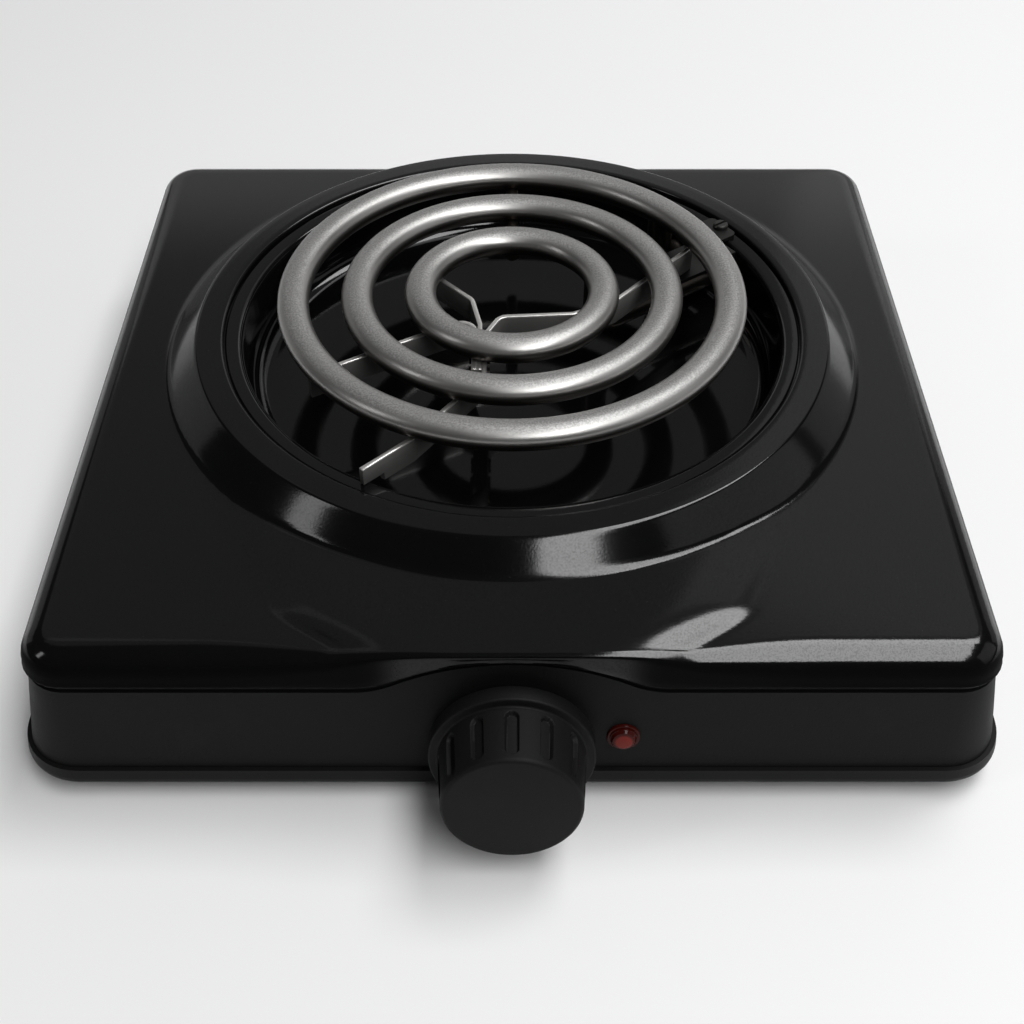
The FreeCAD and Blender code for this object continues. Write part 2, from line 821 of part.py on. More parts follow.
def hinge_bracket():
    """Pressed channel that hangs from the pan's ledge and carries the pin between two ears."""
    top = ledge_z + ear_thickness
    outer = ear_y + ear_thickness
    back = box((back_x - ear_thickness, -outer, lead_z + lead_radius + window_margin), (back_x, outer, top))
    side = tab_width / 2
    tip = rim_radius - ear_thickness
    tab = prism([(back_x - ear_thickness, -side, 0), (tip, -side, corner_round),
                 (tip, side, corner_round), (back_x - ear_thickness, side, 0)], ledge_z, top)
    shape = back.fuse(tab)
    front = pin_x - ear_width / 2
    low = pin_z - ear_depth
    for y in (-outer, ear_y):
        ear = wall_prism([(front, low, ear_round), (back_x, low, 0), (back_x, top, 0), (front, top, 0)],
                         y, y + ear_thickness)
        shape = shape.fuse(ear)
    bore = rod(pin_radius + pin_running, -2 * outer, 2 * outer, AHEAD)
    bore.translate(Vec(pin_x, 0, pin_z))
    hole = rod(tab_screw_radius, ledge_z - sheet, top + sheet, UP)
    hole.translate(Vec(rim_radius - tab_screw_inset, 0, 0))
    return coil_frame(shape.cut([bore, hole]).removeSplitter())


def hinge_pin():
    outer = ear_y + ear_thickness
    pin = rod(pin_radius, -outer, outer, AHEAD)
    heads = [rod(pin_head_radius, -outer - pin_head_height, -outer, AHEAD),
             rod(pin_head_radius, outer, outer + pin_head_height, AHEAD)]
    pin = pin.fuse(heads)
    pin.translate(Vec(pin_x, 0, pin_z))
    return coil_frame(pin)


def bracket_screw():
    seat = ledge_z + ear_thickness
    head = turned([(0, seat, 0), (tab_screw_head, seat, 0),
                   (tab_screw_head, seat + tab_screw_head_height, tab_screw_head_height / 2),
                   (0, seat + tab_screw_head_height, 0)])
    slot = box((-tab_screw_head, -slot_width / 2, seat + tab_screw_head_height / 2),
               (tab_screw_head, slot_width / 2, seat + 2 * tab_screw_head_height))
    shank = rod(tab_screw_radius, seat - tab_screw_length, seat, UP)
    screw = head.cut(slot).fuse(shank)
    screw.translate(Vec(rim_radius - tab_screw_inset, 0, 0))
    return coil_frame(screw)


# Control knob and shaft, modelled about Z and then laid along the wall's normal
def outward(shape):
    """Lay a piece modelled along +Z onto -Y."""
    shape.rotate(CENTRE, ACROSS, 90)
    return shape


shaft_tip = knob_gap + knob_flange_depth + shaft_grip
wall_in = band_wall * cosine(band_draft)
body_front = wall_in + bracket_thickness + bracket_standoff


def d_bar(radius, flat, start, end):
    """Round bar with one flat, along Z."""
    bar = rod(radius, start, end, UP)
    return bar.cut(box((-radius, flat, start - sheet), (radius, radius + sheet, end + sheet)))


def knob():
    top = knob_gap + knob_flange_depth
    outer = turned([(0, knob_gap, 0), (knob_flange_radius, knob_gap, knob_flange_depth / 6),
                    (knob_flange_radius, top, knob_flange_depth / 3),
                    (knob_root_radius, top, knob_face_round / 2),
                    (knob_face_radius, knob_reach, knob_face_round), (0, knob_reach, 0)])
    inside = knob_face_radius - knob_wall
    hollow = turned(sharp([(hub_radius, 0), (inside, 0), (inside, knob_reach - knob_wall),
                           (hub_radius, knob_reach - knob_wall)]))
    bore = d_bar(shaft_radius + fit_gap, shaft_flat + fit_gap, 0, shaft_tip + fit_gap)
    depth = (knob_root_radius + knob_face_radius) / 2 - grip_depth
    wire = stadium(grip_start, grip_end, 0, grip_width, lambda v: Vec(v.x, depth, v.y))
    grip = Part.Face(wire).extrude(AHEAD * knob_flange_radius)
    cuts = [hollow, bore]
    for k in range(grip_count):
        cut = grip.copy()
        cut.rotate(CENTRE, UP, 360 * k / grip_count)
        cuts.append(cut)
    return on_front(outward(outer.cut(cuts)), 0, knob_height)


def control_shaft():
    shaft = rod(shaft_radius, -body_front - shaft_inside, 0, UP)
    shaft = shaft.fuse(d_bar(shaft_radius, shaft_flat, 0, shaft_tip))
    return on_front(outward(shaft), 0, knob_height)


# Thermostat
def thermostat_bracket():
    half = thermostat_width / 2
    plate_half = half + bracket_thickness
    tall = bracket_height / 2
    shape = box((-plate_half, wall_in, -tall), (plate_half, wall_in + bracket_thickness, tall))
    for x in (-plate_half, half):
        shape = shape.fuse(box((x, wall_in, -tall / 2), (x + bracket_thickness, bracket_reach, tall / 2)))
    cuts = [rod(shaft_hole, 0, bracket_reach, AHEAD)]
    for x in (-screw_spacing / 2, screw_spacing / 2):
        cuts.append(screw_form(fit_gap, x))
    return on_front(shape.cut(cuts), 0, knob_height)


def thermostat_body():
    half = thermostat_width / 2
    tall = thermostat_height / 2
    block = wall_prism([(-half, -tall, corner_round), (half, -tall, corner_round),
                        (half, tall, corner_round), (-half, tall, corner_round)],
                       body_front, body_front + thermostat_depth)
    nose = rod(nose_radius, wall_in + bracket_thickness, body_front, AHEAD)
    bore = rod(shaft_radius + shaft_fit, 0, body_front + shaft_inside + sheet, AHEAD)
    return on_front(block.fuse(nose).cut(bore), 0, knob_height)


def thermostat_blades():
    rear = body_front + thermostat_depth
    blades = []
    for x in (-blade_spacing / 2, blade_spacing / 2):
        blades.append(box((x - tag_thickness / 2, rear, -blade_width / 2),
                          (x + tag_thickness / 2, rear + blade_length, blade_width / 2)))
    return on_front(Part.makeCompound(blades), 0, knob_height)


def thermostat_screws():
    screws = [screw_form(0, x) for x in (-screw_spacing / 2, screw_spacing / 2)]
    return on_front(Part.makeCompound(screws), 0, knob_height)


# Indicator lamp
def lamp_lens():
    top = lamp_flange_depth + lamp_dome
    lens = turned([(0, -lamp_body_length, 0), (lamp_radius, -lamp_body_length, 0), (lamp_radius, 0, 0),
                   (lamp_flange_radius, 0, 0), (lamp_flange_radius, lamp_flange_depth, lamp_flange_depth / 2),
                   (lamp_radius, lamp_flange_depth, 0), (lamp_radius, top, lamp_dome_round), (0, top, 0)])
    hollow = rod(lamp_radius - lamp_wall, -lamp_body_length - sheet, 0, UP)
    return on_front(outward(lens.cut(hollow)), lamp_offset, lamp_z)


def lamp_holder():
    inside = lamp_radius - lamp_wall - fit_gap
    holder = turned([(0, -lamp_holder_length, 0), (inside, -lamp_holder_length, 0),
                     (inside, -lamp_flange_depth, corner_round), (0, -lamp_flange_depth, 0)])
    return on_front(outward(holder), lamp_offset, lamp_z)


def lamp_clip():
    clip = rod(lamp_clip_radius, -wall_in - lamp_clip_depth, -wall_in, UP)
    hole = rod(lamp_radius + fit_gap, -2 * lamp_body_length, 0, UP)
    return on_front(outward(clip.cut(hole)), lamp_offset, lamp_z)


# Supply entry
def inward(shape):
    """Lay a piece modelled along +Z onto +Y."""
    shape.rotate(CENTRE, ACROSS, -90)
    return shape


def cord_gland():
    gland = turned([(0, -gland_inside, 0), (gland_radius, -gland_inside, corner_round), (gland_radius, 0, 0),
                    (gland_flange_radius, 0, 0), (gland_flange_radius, gland_flange_depth, 0),
                    (0, gland_flange_depth, 0)])
    bore = rod(gland_bore, -gland_inside - sheet, gland_flange_depth + sheet, UP)
    return on_back(inward(gland.cut(bore)), gland_offset, gland_height)


def gland_nut():
    nut = prism(hexagon(gland_nut_radius), -wall_in - gland_nut_depth, -wall_in)
    bore = rod(gland_radius + fit_gap, -2 * gland_inside, 0, UP)
    return on_back(inward(nut.cut(bore)), gland_offset, gland_height)


# Terminal block on the base
ear_middle = -(block_length + block_ear) / 2


def block_place(shape):
    shape.translate(Vec(gland_offset, body_y + block_back, floor_z))
    return shape


def block_screw_hole():
    """Hole through the block's ear and the base's floor."""
    hole = rod(block_screw_radius + fit_gap, -2 * sheet, block_height, UP)
    hole.translate(Vec(ear_middle, 0, 0))
    return block_place(hole)


def terminal_block():
    """Moulded block with one way for each wire and a fixing ear."""
    half = block_length / 2
    deep = block_width / 2
    block = prism([(-half, -deep, corner_round), (half, -deep, corner_round),
                   (half, deep, corner_round), (-half, deep, corner_round)], 0, block_height)
    ear = box((2 * ear_middle + half, -block_ear / 2, 0), (-half, block_ear / 2, block_ear_height))
    cuts = []
    for k in range(block_ways):
        way = rod(way_radius, -block_width, block_width, AHEAD)
        way.translate(Vec((k - (block_ways - 1) / 2) * block_length / block_ways, 0, block_height / 2))
        cuts.append(way)
    return block_place(block.fuse(ear).cut(cuts)).cut(block_screw_hole())


def block_screw():
    head = rod(screw_head_radius, block_ear_height, block_ear_height + tie_head_height, UP)
    screw = head.fuse(rod(block_screw_radius, -2 * sheet, block_ear_height, UP))
    screw.translate(Vec(ear_middle, 0, 0))
    return block_place(screw)


PIECES = [base_pan, side_band, top_panel, drip_pan, feet, tie_screws, weld_nuts,
          heating_coil, lead_beads, lead_tags, spider_main_strip, spider_back_strip, spider_left_strip,
          spider_rivets, coil_bracket, hinge_bracket, hinge_pin, bracket_screw,
          knob, control_shaft, thermostat_bracket, thermostat_body, thermostat_blades, thermostat_screws,
          lamp_lens, lamp_holder, lamp_clip, cord_gland, gland_nut, terminal_block, block_screw]


def main():
    os.makedirs("parts", exist_ok=True)
    for piece in PIECES:
        piece().exportStep("parts/%s.step" % piece.__name__)


main()
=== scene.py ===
"""Looks of a single-coil electric hot plate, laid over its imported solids."""
import json
import math
from collections import namedtuple

import bmesh
import bpy
from mathutils import Matrix, Vector

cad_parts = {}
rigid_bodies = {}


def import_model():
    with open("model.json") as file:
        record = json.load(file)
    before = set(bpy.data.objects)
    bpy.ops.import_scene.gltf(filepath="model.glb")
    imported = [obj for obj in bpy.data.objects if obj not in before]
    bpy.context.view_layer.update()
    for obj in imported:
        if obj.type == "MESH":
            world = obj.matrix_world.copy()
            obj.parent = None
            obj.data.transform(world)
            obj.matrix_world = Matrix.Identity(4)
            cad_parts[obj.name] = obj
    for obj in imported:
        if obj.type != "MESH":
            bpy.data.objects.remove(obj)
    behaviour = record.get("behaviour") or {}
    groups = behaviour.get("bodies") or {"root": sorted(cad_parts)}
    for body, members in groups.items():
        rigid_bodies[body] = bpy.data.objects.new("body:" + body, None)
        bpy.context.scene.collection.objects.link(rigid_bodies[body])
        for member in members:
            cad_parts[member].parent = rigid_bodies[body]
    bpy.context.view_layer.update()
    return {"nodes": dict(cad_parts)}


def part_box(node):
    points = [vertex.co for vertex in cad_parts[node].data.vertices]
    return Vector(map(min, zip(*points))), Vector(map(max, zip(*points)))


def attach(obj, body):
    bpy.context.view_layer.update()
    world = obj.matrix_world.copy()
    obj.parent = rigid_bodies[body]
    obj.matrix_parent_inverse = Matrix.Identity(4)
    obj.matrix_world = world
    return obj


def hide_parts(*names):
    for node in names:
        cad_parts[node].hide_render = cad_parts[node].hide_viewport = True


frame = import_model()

bl_info = {
    "name": "Hot Plate Looks",
    "version": (1, 0, 0),
    "blender": (4, 5, 0),
    "location": "3D View > Sidebar > Hot Plate",
    "description": "Models and finishes the visible pieces of a single-coil hot plate",
    "category": "Object",
}

bpy.data.batch_remove(bpy.data.materials)
UP = Vector((0, 0, 1))
AHEAD = Vector((1, 0, 0))
PANEL_LOW, PANEL_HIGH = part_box("top_panel")
BODY_Y = (PANEL_LOW.y + PANEL_HIGH.y) / 2
PAN_LOW, PAN_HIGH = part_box("drip_pan")
COIL_Y = (PAN_LOW.y + PAN_HIGH.y) / 2
STRIP_LOW, STRIP_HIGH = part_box("spider_left_strip")
BASE_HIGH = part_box("base_pan")[1]
# The ring's flank falls at 45 degrees
FLANK_SINE = math.sqrt(0.5)
FLANK_HALF_TAN = math.tan(math.pi / 8)
# Inset and lift of the skirt's rolled edge, as parts of the hem
HEM_ROLL = [(0.15, 0.15), (0.5, 0.0), (0.85, 0.15), (1.0, 1.0)]
# The panel's underside follows every fourth loop of its deck
UNDERSIDE_SKIP = 4
# Steps of the search for a point of the outline
HALVINGS = 30
# Edges that turn by more than this stay crisp
SHARP_ANGLE = math.radians(40)


def length(name, text, default):
    """A size in metres that a user may change."""
    return bpy.props.FloatProperty(name=name, description=text, default=default, unit="LENGTH", precision=5)


def angle(name, text, degrees):
    """An angle, given in degrees."""
    return bpy.props.FloatProperty(name=name, description=text, default=math.radians(degrees),
                                   unit="ROTATION")


def share(name, text, default):
    """A part of a whole, from 0 to 1."""
    return bpy.props.FloatProperty(name=name, description=text, default=default, min=0, max=1,
                                   subtype="FACTOR")


def colour(name, text, default):
    """A colour in linear light."""
    return bpy.props.FloatVectorProperty(name=name, description=text, default=default, size=3,
                                         subtype="COLOR", min=0, max=1)


def count(name, text, default):
    """A whole number of pieces or steps."""
    return bpy.props.IntProperty(name=name, description=text, default=default, min=3)


def place(name, text, default):
    """A point, or a row of places along one line, in metres."""
    return bpy.props.FloatVectorProperty(name=name, description=text, default=default, size=len(default),
                                         subtype="TRANSLATION", unit="LENGTH", precision=5)


def optic(name, text, default):
    """A size in the camera, in millimetres."""
    return bpy.props.FloatProperty(name=name, description=text, default=default,
                                   subtype="DISTANCE_CAMERA")


class ShellSizes(bpy.types.PropertyGroup):
    """Top panel and side band."""
    seam: length("Seam", "Skirt's lower edge above the counter", 0.041)
    deck: length("Deck", "Flat deck above the counter", 0.0506)
    corner: length("Corner", "Radius of the outline's corners", 0.012)
    edge: length("Edge round", "Rounding between deck and skirt", 0.008)
    hem: length("Hem", "Thickness of the skirt's rolled lower edge", 0.0010)
    draft: length("Draft", "Lean of the skirt over its height", 0.0003)
    rim: length("Rim", "Radius of the ring's inner edge", 0.087)
    rim_depth: length("Rim depth", "Collar from the ring's top to its lip", 0.0024)
    rim_round: length("Rim round", "Rounding of the ring's inner edge", 0.0009)
    lip: length("Lip", "Width of the lip that carries the drip pan", 0.0014)
    shoulder: length("Shoulder", "Radius where the ring's flank starts", 0.095)
    crest_round: length("Crest round", "Rounding at the shoulder", 0.0016)
    foot_round: length("Foot round", "Flare of the flank onto the deck", 0.0045)
    apron_span: length("Apron span", "Width of the raised apron at the front edge", 0.105)
    turn_start: share("Turn start", "Where the creases start to turn in, from ring to front edge", 0.72)
    apron_turn: length("Apron turn", "How far the apron's creases turn in at the front edge", 0.012)
    apron_flank: length("Apron flank", "Width of the apron's sloping flanks", 0.024)
    apron_rise: length("Apron rise", "Height of the apron at the front edge", 0.0026)
    brow_edge: length("Brow edge", "Rounding of the front edge above the knob", 0.0014)
    brow_near: length("Brow near", "Where the front edge's rounding starts to widen", 0.015)
    brow_far: length("Brow far", "Where the front edge has its full rounding", 0.082)
    arch_span: length("Arch span", "Width of the arch over the knob", 0.080)
    arch_rise: length("Arch rise", "Height of the arch", 0.0096)
    arch_blend: length("Arch blend", "Radius at the arch's feet", 0.022)
    band_inset: length("Band inset", "Band behind the skirt at the seam", 0.0013)
    band_tuck: length("Band tuck", "Band above the seam, behind the skirt", 0.003)
    reveal: length("Reveal", "Height of the shadow gap under the skirt", 0.0027)
    reveal_depth: length("Reveal depth", "Depth of the shadow gap", 0.0008)
    band_lean: angle("Band lean", "Draft of the band's front and back walls", 6.0)
    side_lean: angle("Side lean", "Draft of the band's side walls", 11.0)
    deck_loops: count("Deck loops", "Loops from the ring's flank to the deck's edge", 44)
    edge_loops: count("Edge loops", "Loops over the rounded edge", 12)
    # Painted shade: over this part of the rounded edge the enamel turns matte and dark.
    edge_shade_start: share("Dull start", "Where the rounded edge starts to dull", 0.5)
    edge_shade_full: share("Dull full", "Where the rounded edge is fully dulled", 2 / 3)
    round_loops: count("Round loops", "Loops over each rounding of the ring", 6)
    ring_loops: count("Ring loops", "Loops across the ring's level top", 4)
    skirt_loops: count("Skirt loops", "Loops down the skirt", 3)
    band_loops: count("Band loops", "Loops up the band", 8)
    steps: count("Steps", "Points round each loop of a shell", 512)


class PanSizes(bpy.types.PropertyGroup):
    """Drip pan."""
    sheet: length("Sheet", "Thickness of the sheet", 0.001)
    radius: length("Radius", "Inside of the pan at its flange", 0.0815)
    draft: angle("Draft", "Lean of the pan's wall", 5.0)
    floor_round: length("Floor round", "Rounding between wall and floor", 0.006)
    lip_round: length("Lip round", "Rounding between wall and flange", 0.002)
    window_low: length("Window bottom", "Lower edge of the window for the cold ends", 0.0429)
    window_high: length("Window top", "Upper edge of the window for the cold ends", 0.0562)
    window_half: length("Window half width", "Half the width of the window", 0.0128)
    steps: count("Steps", "Steps round the pan", 192)


class CoilSizes(bpy.types.PropertyGroup):
    """Heating coil."""
    facing: angle("Facing", "Direction of the cold ends from the coil's axis", 35.5)
    radius: length("Radius", "Centre line of the outer ring", 0.0652)
    pitch: length("Pitch", "Distance between rings", 0.0189)
    rings: count("Rings", "Number of rings", 3)
    tube: length("Tube", "Radius of the tube", 0.0047)
    flat: length("Flat", "Flattened top above the tube's centre line", 0.0036)
    height: length("Height", "Centre line of the rings above the counter", 0.0696)
    link: length("Link", "Radius of the bar under the rings", 0.002)
    link_turn: angle("Link turn", "Direction of the bar from the coil's axis", 90.0)
    lead: length("Lead", "Radius of the cold ends", 0.004)
    lead_drop: length("Lead drop", "Cold ends below the rings", 0.0182)
    lead_bend: length("Lead bend", "Bend radius of the cold ends", 0.007)
    lead_spacing: length("Lead spacing", "Distance between the cold ends", 0.016)
    lead_reach: length("Lead reach", "End of the cold ends from the coil's axis", 0.088)
    speckle_start: length("Speckle start", "Below the crown, where its speckles start", 0.0014)
    speckle_full: length("Speckle full", "Below the crown, where its speckles are full", 0.0003)
    # Painted shade: between these heights the tube darkens towards its underside.
    under_shade_full: length("Scale full", "Below the centre line, where the tube is all dark", 0.0012)
    under_shade_end: length("Scale end", "Above the centre line, where the tube is clean", 0.0016)
    section: count("Section", "Points round the tube", 40)
    steps: count("Steps", "Steps round a ring", 192)


class SpiderSizes(bpy.types.PropertyGroup):
    """Strips under the coil, about the coil's axis."""
    thickness: length("Thickness", "Thickness of a strip", 0.0015)
    bend: length("Bend", "Bend radius of a strip", 0.004)
    edge: length("Edge", "Rounding of a strip's edges", 0.0003)
    seat: place("Seat", "Main strip's end on the hinge plate", (0.0566, 0.0305))
    arm_bend: place("Arm bend", "First bend of the main strip", (0.0308, 0.0016))
    arm_waist: place("Arm waist", "Second bend of the main strip", (0.0183, -0.0046))
    arm_hub: place("Arm hub", "Third bend of the main strip", (-0.0036, -0.0061))
    spine: place("Spine", "Front end of the run that the strips share", (-0.008, -0.034))
    spine_start: place("Spine starts", "Back ends of that run on the three strips",
                       (-0.015, -0.010, -0.006))
    spine_tail: length("Spine tail", "How much shorter the outer strips' spines are", 0.0025)
    leg_knee: place("Leg knee", "Bend of the front leg", (-0.0273, -0.0614))
    leg_toe: place("Leg toe", "End of the front leg on the pan's flange", (-0.0401, -0.0738))
    back_knee: place("Back knee", "Bend of the back strip", (-0.0121, 0.0025))
    back_tip: place("Back tip", "End of the back strip", (-0.0246, 0.0161))
    left_knee: place("Left knee", "Bend of the left strip", (-0.0369, -0.0212))
    left_tip: place("Left tip", "End of the left strip", (-0.058, -0.034))
    # Painted highlight: between these depths the strips' upper edges turn bright.
    highlight_start: length("Rub start", "Below the upper edge, where it starts to be rubbed bright", 0.0006)
    highlight_full: length("Rub full", "Below the upper edge, where it is fully bright", 0.0002)
    notch: length("Notch", "Where the front leg rises over the pan's flange", 0.0775)
    notch_gap: length("Notch gap", "Front leg above the pan's flange", 0.0001)


class KnobSizes(bpy.types.PropertyGroup):
    """Knob and indicator lamp on the front wall."""
    seat: place("Seat", "Knob's axis on the front wall", (0.0, -0.1080499, 0.0226))
    gap: length("Gap", "Room between wall and knob", 0.0030)
    flange: length("Flange", "Radius of the flange", 0.0214)
    flange_depth: length("Flange depth", "Thickness of the flange", 0.0048)
    root: length("Root", "Radius of the barrel at the flange", 0.0190)
    face: length("Face", "Radius of the barrel at the face", 0.0177)
    face_round: length("Face round", "Rounding round the face", 0.0012)
    reach: length("Reach", "Face in front of the wall", 0.0245)
    grips: count("Grips", "Recessed grips round the barrel", 13)
    grip_width: length("Grip width", "Width of a grip", 0.0036)
    grip_depth: length("Grip depth", "Depth of a grip", 0.0011)
    grip_wall: length("Grip wall", "Width of the sloping wall round a grip", 0.00044)
    grip_start: length("Grip start", "Near end of a grip in front of the wall", 0.0092)
    grip_end: length("Grip end", "Far end of a grip in front of the wall", 0.0223)
    rungs: count("Rungs", "Loops along the barrel", 72)
    grip_steps: count("Grip steps", "Points round the knob for each grip", 46)
    lamp_seat: place("Lamp seat", "Lamp's axis on the front wall", (0.0287, -0.1080236, 0.02285))
    lamp: length("Lamp", "Radius of the lamp's dome", 0.0036)
    lamp_flange: length("Lamp flange", "Radius of the lamp's flange", 0.0043)
    lamp_flange_depth: length("Lamp flange depth", "Thickness of the lamp's flange", 0.0008)
    lamp_dome: length("Lamp dome", "Height of the lamp's dome", 0.0020)
    lamp_rings: count("Lamp rings", "Concentric facets in the lens", 5)
    lamp_bulge: share("Lamp bulge", "Part of a full dome's radius that the facets take up", 0.97)
    lamp_flat: share("Lamp flat", "Level part of each facet", 0.25)
    lamp_pale: length("Lamp pale", "Distance from the apex where the tint starts to darken", 0.0019)
    lamp_dark: length("Lamp dark", "Distance from the apex where the tint is darkest", 0.0027)
    lamp_steps: count("Lamp steps", "Steps round the lens", 72)


class Finishes(bpy.types.PropertyGroup):
    """Colours of the finishes."""
    enamel: colour("Enamel", "Top panel and drip pan", (0.002, 0.002, 0.0021))
    band: colour("Band", "Side band and base", (0.005, 0.005, 0.005))
    knob: colour("Knob", "Knob", (0.005, 0.005, 0.005))
    # Painted shade: the colour of the tube below its centre line, standing in for the shade under the
    # rings.
    painted_shade_steel: colour("Dark steel", "Scale under the coil", (0.07, 0.062, 0.055))
    steel: colour("Steel", "Clean flanks of the coil", (0.46, 0.452, 0.44))
    scale_dark: colour("Dark scale", "Specks on the coil's flat", (0.23, 0.227, 0.222))
    scale_pale: colour("Pale scale", "Ground of the coil's flat", (0.39, 0.386, 0.378))
    strip: colour("Strips", "Oxidised spider strips", (0.15, 0.147, 0.143))
    # Painted highlight: the bright colour of the strips' upper edges, where they catch the light.
    painted_highlight: colour("Rubbed edges", "Bright upper edges of the strips", (0.66, 0.65, 0.63))
    bracket: colour("Brackets", "Blackened hinge pieces and screws", (0.03, 0.029, 0.028))
    zinc: colour("Zinc", "Plated screws and brackets", (0.42, 0.41, 0.39))
    brass: colour("Brass", "Contacts", (0.55, 0.36, 0.12))
    ceramic: colour("Ceramic", "Beads on the cold ends", (0.62, 0.59, 0.52))
    phenolic: colour("Phenolic", "Thermostat body and terminal block", (0.035, 0.022, 0.015))
    rubber: colour("Rubber", "Feet", (0.010, 0.010, 0.010))
    lamp: colour("Lamp", "Indicator lens", (0.2, 0.02, 0.013))


class StudioSettings(bpy.types.PropertyGroup):
    """Camera, floor and sky."""
    eye: place("Eye", "Camera position", (0.0, -0.3366, 0.3246))
    dip: angle("Dip", "How far the camera looks down", 44.1)
    lens: optic("Lens", "Focal length", 51.06)
    sensor: optic("Sensor", "Width of the sensor", 36.0)
    floor: colour("Floor", "Pale counter", (0.885, 0.885, 0.89))
    floor_size: length("Floor size", "Side of the floor", 8.0)
    sky: colour("Sky", "Light from all round", (1.0, 1.0, 1.0))
    sky_strength: share("Sky strength", "Level of the light from all round", 0.03)


class Value:
    """A shader socket that arithmetic can be written with."""

    def __init__(self, finish, socket):
        self.finish = finish
        self.socket = socket

    def maths(self, operation, first, second):
        """One step of arithmetic on sockets or numbers."""
        return self.finish.node("ShaderNodeMath", {"operation": operation}, {0: first, 1: second})

    def __add__(self, other):
        return self.maths("ADD", self, other)

    def __sub__(self, other):
        return self.maths("SUBTRACT", self, other)

    def __rsub__(self, other):
        return self.maths("SUBTRACT", other, self)

    def __mul__(self, other):
        return self.maths("MULTIPLY", self, other)

    __radd__ = __add__
    __rmul__ = __mul__


class Finish:
    """A material as it is put together."""

    def __init__(self, name):
        self.material = bpy.data.materials.new(name)
        self.material.use_nodes = True
        self.tree = self.material.node_tree
        self.shader = self.tree.nodes["Principled BSDF"]
        self.where = self.node("ShaderNodeTexCoord", {}, {}, "Object")

    def node(self, kind, settings, sockets, output=0):
        """Add a node, make its settings, feed its sockets and hand one output back."""
        made = self.tree.nodes.new(kind)
        for key, value in settings.items():
            setattr(made, key, value)
        for key, value in sockets.items():
            self.feed(made.inputs[key], value)
        return Value(self, made.outputs[output])

    def feed(self, socket, value):
        """Link a value to a socket, or set the socket to a number or a colour."""
        if isinstance(value, Value):
            self.tree.links.new(value.socket, socket)
        elif socket.type == "RGBA":
            socket.default_value = (*value, 1.0)
        else:
            socket.default_value = value

    def shade(self, **sockets):
        """Feed the shader's own sockets, named with underscores for spaces."""
        for key, value in sockets.items():
            self.feed(self.shader.inputs[key.replace("_", " ")], value)

    def noise(self, scale, detail=2.0, rough=0.5):
        """Cloudy pattern that is fixed to the object."""
        return self.node("ShaderNodeTexNoise", {}, {"Vector": self.where, "Scale": scale, "Detail": detail,
                                                    "Roughness": rough})

    def step(self, value, low, high):
        """0 below low, 1 above high, smooth between."""
        return self.node("ShaderNodeMapRange", {"interpolation_type": "SMOOTHSTEP"},
                         {"Value": value, "From Min": low, "From Max": high})

    def mix(self, factor, first, second):
        """Blend two colours, by the node's colour sockets 6 and 7 and its colour output 2."""
        return self.node("ShaderNodeMix", {"data_type": "RGBA"}, {0: factor, 6: first, 7: second}, 2)

    def bump(self, height, distance):
        """Tilt the surface as if a pattern stood out by a distance."""
        self.shade(Normal=self.node("ShaderNodeBump", {}, {"Height": height, "Distance": distance}))


def scaled(shade, factor):
    """A colour made darker or brighter."""
    return tuple(min(1.0, part * factor) for part in shade)


def enamel(name, shade, rough, grain):
    """Baked enamel: black gloss with a fine orange peel and dust specks, turned into a near-unreflective
    matte copy where the mesh asks, as painted shade that keeps the skirt and lower edge dark.
    """
    finish = Finish(name)
    cloud = finish.noise(38.0, 3.0)
    peel = finish.noise(1700.0, 2.0, 0.6)
    dust = finish.step(finish.noise(2600.0, 1.0), 0.74, 0.80)
    grit = finish.step(finish.noise(2300.0, 2.0, 0.7), 0.42, 0.68)
    # Painted shade: the mesh's attribute swaps the gloss for a matte copy that hardly reflects, so the
    # skirt reads dark; speckled grit also breaks up the gloss.
    painted_shade = finish.node("ShaderNodeAttribute", {"attribute_name": "painted_shade"}, {}, "Fac")
    shade_and_grit = painted_shade + (1.0 - painted_shade) * grit * 0.3
    ground = finish.mix(cloud, shade, scaled(shade, 1.4))
    finish.shade(Base_Color=finish.mix(dust * 0.5, ground, scaled(shade, 6.0)),
                 Roughness=rough + 0.02 * cloud + 0.03 * peel + 0.2 * dust, Specular_IOR_Level=0.52)
    finish.bump(peel, grain)
    shaded_copy = finish.node("ShaderNodeBsdfPrincipled", {}, {"Base Color": shade, "Roughness": 0.6,
                                                         "Specular IOR Level": 0.03})
    gloss = Value(finish, finish.shader.outputs["BSDF"])
    finish.feed(finish.tree.nodes["Material Output"].inputs["Surface"],
                finish.node("ShaderNodeMixShader", {}, {"Fac": shade_and_grit, 1: gloss, 2: shaded_copy}))
    return finish.material


def moulding(name, shade, rough, grain):
    """Moulded plastic or rubber with a fine spark texture and smoother worn patches."""
    finish = Finish(name)
    cloud = finish.noise(55.0, 4.0)
    spark = finish.noise(1500.0, 3.0, 0.6)
    rub = finish.step(cloud, 0.55, 0.75)
    finish.shade(Base_Color=finish.mix(spark, scaled(shade, 0.8), scaled(shade, 1.3)),
                 Roughness=rough + 0.12 * spark - 0.06 * rub, Specular_IOR_Level=0.14)
    finish.bump(spark, grain)
    return finish.material


def steel(name, shade, rough, metallic=0.9):
    """Rolled or plated metal with stains and small scratches."""
    finish = Finish(name)
    cloud = finish.noise(110.0, 4.0)
    fine = finish.noise(900.0, 3.0, 0.6)
    finish.shade(Base_Color=finish.mix(cloud, scaled(shade, 0.65), scaled(shade, 1.2)), Metallic=metallic,
                 Roughness=rough + 0.2 * fine - 0.1 * cloud)
    finish.bump(fine, 0.00003)
    return finish.material


